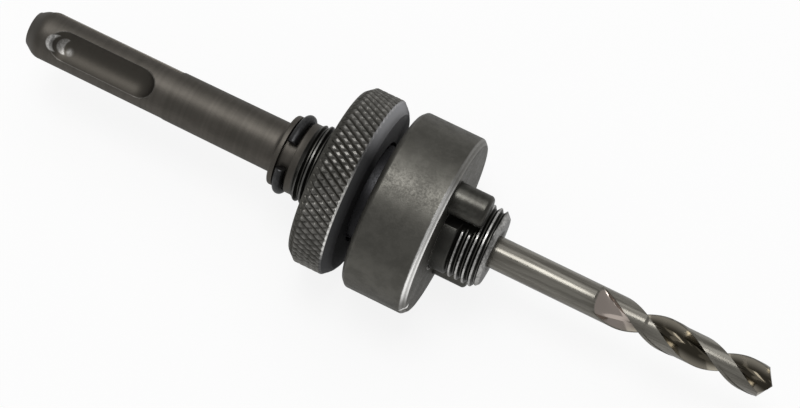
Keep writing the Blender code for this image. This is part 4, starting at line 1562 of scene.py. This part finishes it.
@dataclass(frozen=True)
class BodyFinish(SteelFinish):
    """Black oxide, satin brown-grey on the shank, black on the threads, bare at the nose's end, with
    painted highlights along the shank grooves' rims and at the locking grooves' rear ends.
    """

    black: Colour = (0.056, 0.055, 0.050)
    black_roughness: float = 0.38
    black_start: Span = (-29.9, -29.6)
    sunk: Colour = (0.068, 0.062, 0.053)
    sunk_share: float = 0.8
    crest: float = 7.92
    crest_wear: Fade = (-14.0, 2.0, 0.10, 0.62)
    thread_rear: Span = (-29.7, -17.0)
    thread_front: Span = (3.0, 9.9)
    face_start: Span = (8.7, 9.4)
    bore_edge: Span = (3.6, 4.2)
    face_wear: Fade = (6.4, 7.0, 0.16, 0.5)
    shank_surface: float = 5.0
    keyway_end: float = -58.2
    # The next four fields paint a highlight along the rims of the shank's grooves.
    rim_inner: Span = (4.78, 4.90)
    rim_outer: Span = (4.998, 4.975)
    rim_highlight: float = 0.10
    rim_start: Span = (-85.6, -85.0)
    tip_wear: Fade = (-86.4, -87.4, 0.0, 0.05)
    # The next six fields paint highlights at the rear ends of the locking grooves: two crescents and a
    # spot.
    crescent_roll: float = 27.0
    outer_crescent: tuple[float, float, float, float] = (-82.95, 1.8, -81.65, 1.85)
    inner_crescent: tuple[float, float, float, float] = (-81.2, 1.7, -79.4, 1.95)
    crescent_shares: Span = (0.9, 0.34)
    blob_place: Span = (-80.0, 39.0)
    blob_size: Fade = (1.0, 0.1, 0.0, 0.3)

    def material(self, effects: Effects) -> bpy.types.Material:
        """Makes the material.

        Args:
            effects: The shared node groups.

        Returns:
            The material.
        """
        graph, material, sockets = self.begin(effects)
        station, radius = sockets["Station"], sockets["Radius"]
        zone = graph.ramp(station, *self.black_start)
        shade = graph.level(0.5, sockets["Blotches"], sockets["Streaks"])
        shank = graph.blend(shade, self.coat_dark, self.coat)
        below = graph.ramp(radius, self.shank_surface - 0.04, self.shank_surface - 0.3)
        behind = graph.ramp(station, self.keyway_end + 0.1, self.keyway_end - 0.4)
        shank = graph.blend(graph.product(below, behind, self.sunk_share), shank, self.sunk)
        coat = graph.blend(zone, shank, self.black)
        rough = graph.level(zone, self.roughness, self.black_roughness)
        patchiness = graph.level(0.5, sockets["Specks"], sockets["Blotches"])
        patchiness = graph.ramp(patchiness, 0.1, 0.7, 0.45, 1.0)
        crests = graph.product(
            graph.ramp(radius, self.crest - 0.16, self.crest - 0.04),
            self.threads(graph, station),
            patchiness,
            graph.ramp(station, *self.crest_wear),
        )
        face = graph.product(
            graph.ramp(station, *self.face_start),
            graph.ramp(radius, *self.bore_edge),
            patchiness,
            graph.ramp(radius, *self.face_wear),
        )
        # Painted highlights at the rear ends of the locking grooves.
        end_highlights = self.groove_end_highlights(graph, sockets, patchiness)
        # The bare-metal mask: rubbed crests and nose face, plus painted highlights on the grooves.
        wear_and_highlight = graph.largest(crests, face, end_highlights, self.rim_highlight_and_tip_wear(graph, station, radius))
        self.finish(graph, sockets, wear_and_highlight, coat, rough)
        return material

    def threads(self, graph: Graph, station: Socket) -> object:
        """Mask of the two threaded lengths.

        Args:
            graph: The material's graph.
            station: The point's station.

        Returns:
            The mask.
        """
        mask: object = 0.0
        for low, high in (self.thread_rear, self.thread_front):
            start, end = graph.ramp(station, low, low + 0.2), graph.ramp(station, high + 0.1, high)
            mask = graph.largest(mask, graph.product(start, end))
        return mask

    def rim_highlight_and_tip_wear(self, graph: Graph, station: Socket, radius: Socket) -> object:
        """Mask of a painted highlight along the rims of the shank's grooves, and of the wear on its
        tip, which the chuck rubs.

        Args:
            graph: The material's graph.
            station: The point's station.
            radius: The point's radius.

        Returns:
            The mask.
        """
        # Painted highlight along the grooves' rims.
        rim = graph.product(
            graph.ramp(radius, *self.rim_inner),
            graph.ramp(radius, *self.rim_outer),
            graph.ramp(station, self.keyway_end + 0.1, self.keyway_end - 0.4, 0.0, self.rim_highlight),
            graph.ramp(station, *self.rim_start),
        )
        return graph.largest(rim, graph.ramp(station, *self.tip_wear))

    def groove_end_highlights(self, graph: Graph, sockets: dict[str, Socket], broken: Socket) -> object:
        """Painted highlights: bright crescents and a spot at the rear ends of the locking grooves, laid
        in as bare metal.

        Args:
            graph: The material's graph.
            sockets: The sockets that begin gave.
            broken: A mask that breaks the patches up.

        Returns:
            The mask of the patches.
        """
        mask: object = graph.ramp(self.reach(graph, sockets, *self.blob_place), *self.blob_size)
        for crescent, share in zip((self.outer_crescent, self.inner_crescent), self.crescent_shares):
            rear, size, front, hollow = crescent
            disc = self.reach(graph, sockets, rear, self.crescent_roll)
            disc = graph.ramp(disc, size, size - 0.35, 0.0, share)
            bite = self.reach(graph, sockets, front, self.crescent_roll)
            bite = graph.ramp(bite, hollow - 0.15, hollow + 0.2)
            mask = graph.largest(mask, graph.product(disc, bite))
        return graph.product(mask, broken)


@dataclass(frozen=True)
class KnurlFinish(SteelFinish):
    """Steel with rubbed knurl tops, dark grooves, a painted highlight on the chamfer and a painted lit
    side on a face that is otherwise black as painted shade.
    """

    rim: float = 18.18
    depth: float = 0.42
    chamfer_rear: float = -17.86
    chamfer_front: float = -17.52
    # The chamfer's bare metal is a painted highlight, brightest towards roll 42.
    highlight_roll: float = 42.0
    highlight_band: Fade = (0.80, 0.97, 0.10, 1.0)
    rubbed: float = 0.13
    # The face is painted lit and shaded: light grey towards roll -42 as painted light, black elsewhere
    # as painted shade.
    lit_face_roll: float = -42.0
    lit_face_band: Span = (0.74, 0.99)
    black: Colour = (0.075, 0.075, 0.077)
    lit_face: Colour = (0.38, 0.38, 0.39)
    face_roughness: float = 0.7

    def material(self, effects: Effects) -> bpy.types.Material:
        """Makes the material.

        Args:
            effects: The shared node groups.

        Returns:
            The material.
        """
        graph, material, sockets = self.begin(effects)
        station, radius = sockets["Station"], sockets["Radius"]
        start = graph.ramp(station, self.chamfer_rear - 0.05, self.chamfer_rear + 0.1)
        end = graph.ramp(station, self.chamfer_front - 0.03, self.chamfer_front + 0.1, 1.0, 0.0)
        grime = graph.level(0.35, sockets["Blotches"], sockets["Specks"])
        tops = graph.product(
            graph.ramp(radius, self.rim - self.depth * 0.8, self.rim - self.depth * 0.1),
            graph.ramp(grime, 0.0, 0.6, 0.5, 1.0),
            graph.math("SUBTRACT", 1.0, start),
            self.rubbed,
        )
        # Painted highlight on the chamfer, strongest towards roll 42.
        chamfer = graph.product(
            start,
            end,
            graph.ramp(radius, self.rim - 1.6, self.rim - 1.35),
            graph.ramp(self.towards(graph, sockets, self.highlight_roll), *self.highlight_band),
        )
        # Painted light and shade on the face: lit towards roll -42, black elsewhere.
        lit_side = graph.ramp(self.towards(graph, sockets, self.lit_face_roll), *self.lit_face_band)
        face = graph.blend(lit_side, self.black, self.lit_face)
        coat = graph.blend(start, graph.blend(grime, self.coat_dark, self.coat), face)
        rough = graph.level(start, self.roughness, self.face_roughness)
        self.finish(graph, sockets, graph.largest(tops, chamfer), coat, rough)
        return material


@dataclass(frozen=True)
class CollarFinish(SteelFinish):
    """Dull phosphated steel with cloudy patches, front-chamfer wear brightened on one side as a painted
    highlight, a painted reflection at the bore's mouth, a painted glint in the nick, and a black hub as
    painted shade.
    """

    rim: float = 18.18
    chamfer: float = 0.92
    thickness: float = 13.35
    strands: tuple[tuple[float, float, float], ...] = (
        (0.86, 0.36, 1.0),
        (0.5, 0.8, 0.55),
        (0.16, 0.3, 0.9),
    )
    breakup: float = 0.5
    wear_grain: float = 1.6
    # Wear on the front chamfer shows strongly only towards roll 35, as a painted highlight.
    highlight_roll: float = 35.0
    highlight_band: Fade = (0.66, 0.9, 0.16, 1.0)
    # A painted reflection: a thin light line round the bore's mouth.
    mouth_station: Span = (-0.36, -0.28)
    mouth_radius: Span = (8.62, 8.52)
    mouth_reflection: float = 0.9
    # A painted glint: bright bare metal in the nick.
    nick_place: Span = (-0.35, 95.0)
    nick_size: Span = (1.0, 0.5)
    # The hub's black is painted shade in the gap before the nut.
    black: Colour = (0.055, 0.055, 0.058)

    def material(self, effects: Effects) -> bpy.types.Material:
        """Makes the material.

        Args:
            effects: The shared node groups.

        Returns:
            The material.
        """
        graph, material, sockets = self.begin(effects)
        station, radius = sockets["Station"], sockets["Radius"]
        edge: object = 0.0
        for place, width, share in self.strands:
            strand = effects.use(
                graph,
                Effect.EDGE_WEAR,
                distance=graph.math("ADD", station, place * self.chamfer),
                width=width,
                breakup=self.breakup,
                grain=self.wear_grain,
            ).outputs[0]
            edge = graph.largest(edge, graph.product(strand, share))
        facing, inner = self.towards(graph, sockets, self.highlight_roll), self.rim - self.chamfer
        outer = graph.ramp(radius, inner - 0.12, inner + 0.05)
        # Painted highlight: the chamfer's wear is kept mostly on the side towards roll 35.
        edge = graph.product(edge, graph.ramp(facing, *self.highlight_band), outer)
        # Painted reflection round the bore's mouth.
        mouth = graph.ramp(station, *self.mouth_station)
        mouth = graph.product(mouth, graph.ramp(radius, *self.mouth_radius), self.mouth_reflection)
        # Painted glint in the nick.
        nick_glint = graph.product(
            graph.ramp(self.reach(graph, sockets, *self.nick_place), *self.nick_size),
            graph.ramp(facing, 0.2, 0.4),
            graph.ramp(radius, self.rim - 2.2, self.rim - 1.8),
        )
        # Painted shade: the hub behind the collar is black.
        hub = graph.ramp(station, -self.thickness - 0.1, -self.thickness + 0.05, 1.0, 0.0)
        cloud = graph.level(0.35, sockets["Blotches"], sockets["Specks"])
        coat = graph.blend(hub, graph.blend(cloud, self.coat_dark, self.coat), self.black)
        rough = graph.level(cloud, self.roughness + 0.04, self.roughness - 0.03)
        self.finish(graph, sockets, graph.largest(edge, mouth, nick_glint), coat, rough)
        return material


@dataclass(frozen=True)
class GroundFinish(SteelFinish):
    """Ground high-speed steel, greyed on the lands, polished in the flutes and darkened towards the
    flutes' bottoms as painted shade.
    """

    land_radius: float = 3.175
    core_radius: float = 1.1
    greyed: float = 0.5
    # Painted shade: the flutes darken towards their bottoms, to this colour.
    flute_shade: Colour = (0.055, 0.048, 0.036)
    flute_edge: Colour = (0.40, 0.365, 0.30)
    flute_roughness: float = 0.15
    run_out: Span = (36.0, 40.5)
    run_out_grey: Colour = (0.46, 0.40, 0.36)
    grain_along: float = 0.07
    grain_around: float = 3.6

    def material(self, effects: Effects) -> bpy.types.Material:
        """Makes the material.

        Args:
            effects: The shared node groups.

        Returns:
            The material.
        """
        graph, material, sockets = self.begin(effects)
        radius, station = sockets["Radius"], sockets["Station"]
        angle = graph.math("MULTIPLY", sockets["Turn"], math.tau)
        across = graph.math("MULTIPLY", graph.math("COSINE", angle), self.grain_around)
        up = graph.math("MULTIPLY", graph.math("SINE", angle), self.grain_around)
        along = graph.math("MULTIPLY", station, self.grain_along)
        drawn = graph.ramp(graph.noise(graph.vector(along, across, up), 1.0, 3.0), 0.36, 0.64)
        land = graph.blend(drawn, self.coat_dark, self.coat)
        # Painted shade: the flutes darken from their edges towards their bottoms.
        depth = graph.ramp(radius, self.core_radius, self.land_radius - 0.2)
        sides = graph.blend(depth, self.flute_shade, self.flute_edge)
        sides = graph.blend(graph.ramp(station, *self.run_out, 1.0, 0.0), sides, self.run_out_grey)
        fluted = graph.ramp(radius, self.land_radius - 0.17, self.land_radius - 0.4)
        coat = graph.blend(fluted, land, sides)
        rough = graph.level(fluted, self.roughness, self.flute_roughness)
        self.finish(graph, sockets, 0.0, coat, rough, graph.level(fluted, self.greyed, 1.0))
        return material


@dataclass(frozen=True)
class PlainFinish(SteelFinish):
    """Plain oxide or bare wire, rubbed a little all over."""

    rubbed: float = 0.15

    def material(self, effects: Effects) -> bpy.types.Material:
        """Makes the material.

        Args:
            effects: The shared node groups.

        Returns:
            The material.
        """
        graph, material, sockets = self.begin(effects)
        grime = graph.level(0.5, sockets["Specks"], sockets["Blotches"])
        self.finish(graph, sockets, graph.math("MULTIPLY", grime, self.rubbed * 2.0))
        return material


@dataclass(frozen=True)
class Lamp:
    """A soft square lamp aimed at the middle of the arbor."""

    name: str
    azimuth: float
    elevation: float
    distance: float
    size: float
    radiance: float

    def place(self, target: Vector) -> bpy.types.Object:
        """Adds the lamp.

        Args:
            target: The point that it faces.

        Returns:
            The lamp.
        """
        data = bpy.data.lights.new(self.name, "AREA")
        data.shape, data.size = "DISK", self.size
        data.energy = self.radiance * math.pi**2 * self.size**2 / 4.0
        lamp = bpy.data.objects.new(self.name, data)
        bpy.context.scene.collection.objects.link(lamp)
        lamp.location = target + direction(self.azimuth, self.elevation) * self.distance
        lamp.rotation_euler = (lamp.location - target).to_track_quat("Z", "Y").to_euler()
        return lamp


def direction(azimuth: float, elevation: float) -> Vector:
    """Direction from the object at an azimuth from -Y towards +X and an elevation, in degrees."""
    around, up = math.radians(azimuth), math.radians(elevation)
    return Vector((math.sin(around) * math.cos(up), -math.cos(around) * math.cos(up), math.sin(up)))


@dataclass(frozen=True)
class Studio:
    """Floor, light and camera of the picture."""

    target: Vector = field(default_factory=lambda: Vector((0.00132673, 0.0, 0.01920597)))
    azimuth: float = 27.01401
    elevation: float = 72.01659
    distance: float = 0.3965865
    lens: float = 95.053
    sensor: float = 36.0
    floor_size: float = 3.0
    floor_tone: float = 0.98
    background_share: float = 0.86
    world_level: float = 0.42
    dark_side_level: float = 0.38
    mirrored_share: float = 0.45
    lamps: tuple[Lamp, ...] = (
        Lamp("key", 224.0, 81.7, 1.0, 0.42, 7.6),
        Lamp("ceiling", 193.0, 61.0, 1.2, 1.0, 1.2),
        Lamp("window", -12.0, 30.0, 1.2, 0.22, 1.3),
    )

    def build(self) -> None:
        """Adds the floor, the world, the lamps and the camera."""
        scene = bpy.context.scene
        scene.view_settings.view_transform = "Standard"
        self.add_world(scene)
        self.add_floor()
        for lamp in self.lamps:
            lamp.place(self.target)
        data = bpy.data.cameras.new("camera")
        data.lens, data.sensor_width, data.sensor_fit = self.lens, self.sensor, "HORIZONTAL"
        data.clip_start, data.clip_end = 0.01, 10.0
        camera = bpy.data.objects.new("camera", data)
        scene.collection.objects.link(camera)
        camera.location = self.target + direction(self.azimuth, self.elevation) * self.distance
        camera.rotation_euler = (camera.location - self.target).to_track_quat("Z", "Y").to_euler()
        scene.camera = camera

    def add_world(self, scene: bpy.types.Scene) -> None:
        """Adds grey surroundings that are darker beyond the drill's tip.

        Args:
            scene: The scene.
        """
        world = bpy.data.worlds.new("surroundings")
        scene.world = world
        world.use_nodes = True
        world.node_tree.nodes.clear()
        graph = Graph(world.node_tree)
        towards = graph.add("ShaderNodeTexCoord").outputs["Generated"]
        along = graph.add("ShaderNodeSeparateXYZ", {0: towards}).outputs[0]
        level = graph.ramp(along, 0.35, 0.85, self.world_level, self.dark_side_level)
        light = graph.add("ShaderNodeBackground", {"Color": (1.0, 1.0, 1.0), "Strength": level})
        out = graph.add("ShaderNodeOutputWorld")
        graph.feed(out.inputs["Surface"], light.outputs[0])

    def add_floor(self) -> bpy.types.Object:
        """Adds the white floor, which shows as background and keeps a soft shadow.

        Returns:
            The floor.
        """
        mesh = bpy.data.meshes.new("floor")
        half = self.floor_size / 2.0
        corners = [(-half, -half, 0.0), (half, -half, 0.0), (half, half, 0.0), (-half, half, 0.0)]
        mesh.from_pydata(corners, [], [(0, 1, 2, 3)])
        floor = bpy.data.objects.new("floor", mesh)
        bpy.context.scene.collection.objects.link(floor)
        material = bpy.data.materials.new("floor")
        material.use_nodes = True
        material.node_tree.nodes.clear()
        graph = Graph(material.node_tree)
        tone = (self.floor_tone,) * 3
        paint = graph.add("ShaderNodeBsdfDiffuse", {"Color": tone})
        white = graph.add("ShaderNodeEmission", {"Color": (1.0, 1.0, 1.0), "Strength": 1.0})
        path = graph.add("ShaderNodeLightPath").outputs
        mirrored = graph.math("MAXIMUM", path["Is Glossy Ray"], path["Is Transmission Ray"])
        mirrored = graph.math("MULTIPLY", mirrored, self.mirrored_share)
        seen = graph.math("MULTIPLY", path["Is Camera Ray"], self.background_share)
        share = graph.math("MAXIMUM", seen, mirrored)
        mixed = graph.add("ShaderNodeMixShader", {0: share, 1: paint.outputs[0], 2: white.outputs[0]})
        out = graph.add("ShaderNodeOutputMaterial")
        graph.feed(out.inputs["Surface"], mixed.outputs[0])
        mesh.materials.append(material)
        return floor


@dataclass
class HoleSawArbor:
    """The whole arbor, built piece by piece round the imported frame."""

    shop: Workshop
    nodes: dict[str, bpy.types.Object]

    def arbor(self) -> list[bpy.types.Object]:
        """Builds the body, its wire ring and the pilot drill, and dresses the set screw.

        Returns:
            The pieces.
        """
        oxide = BodyFinish(
            "black_oxide_steel",
            (0.108, 0.099, 0.087),
            (0.086, 0.079, 0.069),
            (0.78, 0.77, 0.75),
            0.50,
            0.32,
        )
        wire = PlainFinish(
            "ring_wire_steel",
            (0.050, 0.050, 0.052),
            (0.032, 0.032, 0.033),
            (0.12, 0.12, 0.12),
            0.42,
            0.34,
        )
        bright = GroundFinish(
            "polished_tool_steel",
            (0.205, 0.195, 0.170),
            (0.125, 0.117, 0.100),
            (0.20, 0.19, 0.175),
            0.21,
            0.17,
            rings_per_mm=9.0,
            mark_depth=0.001,
        )
        screw = PlainFinish(
            "set_screw_steel",
            (0.045, 0.045, 0.045),
            (0.03, 0.03, 0.03),
            (0.3, 0.3, 0.29),
            0.34,
            0.25,
        )
        ring = WireRing(
            self.shop,
            station=-32.4,
            centre_radius=7.17,
            wire_radius=1.0,
            opening=42.0,
            roll=23.5,
        )
        return [
            ArborBody(self.shop).dress("body", oxide, "arbor_body", "arbor"),
            ring.dress("rear_ring", wire, "rear_snap_ring", "arbor"),
            PilotDrill(self.shop).dress("drill", bright, "pilot_drill", "arbor"),
            self.keep("drill_set_screw", screw),
        ]

    def keep(self, node: str, finish: SteelFinish) -> bpy.types.Object:
        """Gives a CAD node that stays a better material in its own slot.

        Args:
            node: The node.
            finish: Its finish.

        Returns:
            The node's object.
        """
        kept = self.nodes[node]
        kept.data.materials[0] = self.shop.material(finish)
        return kept

    def collar(self) -> list[bpy.types.Object]:
        """Builds the collar, its two pins and the thin wire ring on its hub.

        Returns:
            The pieces.
        """
        phosphate = CollarFinish(
            "phosphated_steel",
            (0.122, 0.118, 0.105),
            (0.092, 0.089, 0.079),
            (0.95, 0.94, 0.92),
            0.48,
            0.27,
            fleck=0.15,
            grain=2.6,
        )
        dark = PlainFinish(
            "hardened_pin_steel",
            (0.068, 0.066, 0.058),
            (0.050, 0.048, 0.043),
            (0.12, 0.12, 0.11),
            0.36,
            0.30,
        )
        wire = PlainFinish(
            "thin_wire_steel",
            (0.30, 0.29, 0.28),
            (0.20, 0.19, 0.18),
            (0.5, 0.49, 0.47),
            0.25,
            0.2,
        )
        pieces = [DriveCollar(self.shop).dress("collar", phosphate, "drive_collar", "collar")]
        for node, roll in (("drive_pin_1", -13.0), ("drive_pin_2", 167.0)):
            pieces.append(DrivePin(self.shop, roll).dress(f"{node}_turned", dark, node, "collar"))
        ring = WireRing(
            self.shop,
            station=-17.91,
            centre_radius=9.95,
            wire_radius=0.45,
            opening=20.0,
            roll=-103.0,
            points=240,
            sides=20,
        )
        return [*pieces, ring.dress("nut_ring", wire, "nut_snap_ring", "collar")]

    def nut(self) -> list[bpy.types.Object]:
        """Builds the knurled nut.

        Returns:
            The piece.
        """
        knurled = KnurlFinish(
            "knurled_steel",
            (0.105, 0.100, 0.090),
            (0.070, 0.068, 0.060),
            (0.80, 0.79, 0.76),
            0.45,
            0.30,
        )
        return [LockNut(self.shop).dress("nut", knurled, "lock_nut", "nut", Shading.FACETED)]


def main() -> None:
    """Builds the arbor round its frame, reports each piece and adds the studio."""
    logging.basicConfig(level=logging.INFO, format="%(message)s")
    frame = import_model()
    axis = ArborAxis.from_record(frame["record"], ArborBody.rear_end)
    arbor = HoleSawArbor(Workshop(axis, Effects(axis)), frame["nodes"])
    for build in (arbor.arbor, arbor.collar, arbor.nut):
        for piece in build():
            mesh = piece.data
            LOG.info("%s: %d faces, %s", piece.name, len(mesh.polygons), mesh.materials[0].name)
    Studio().build()


if __name__ == "__main__":
    main()
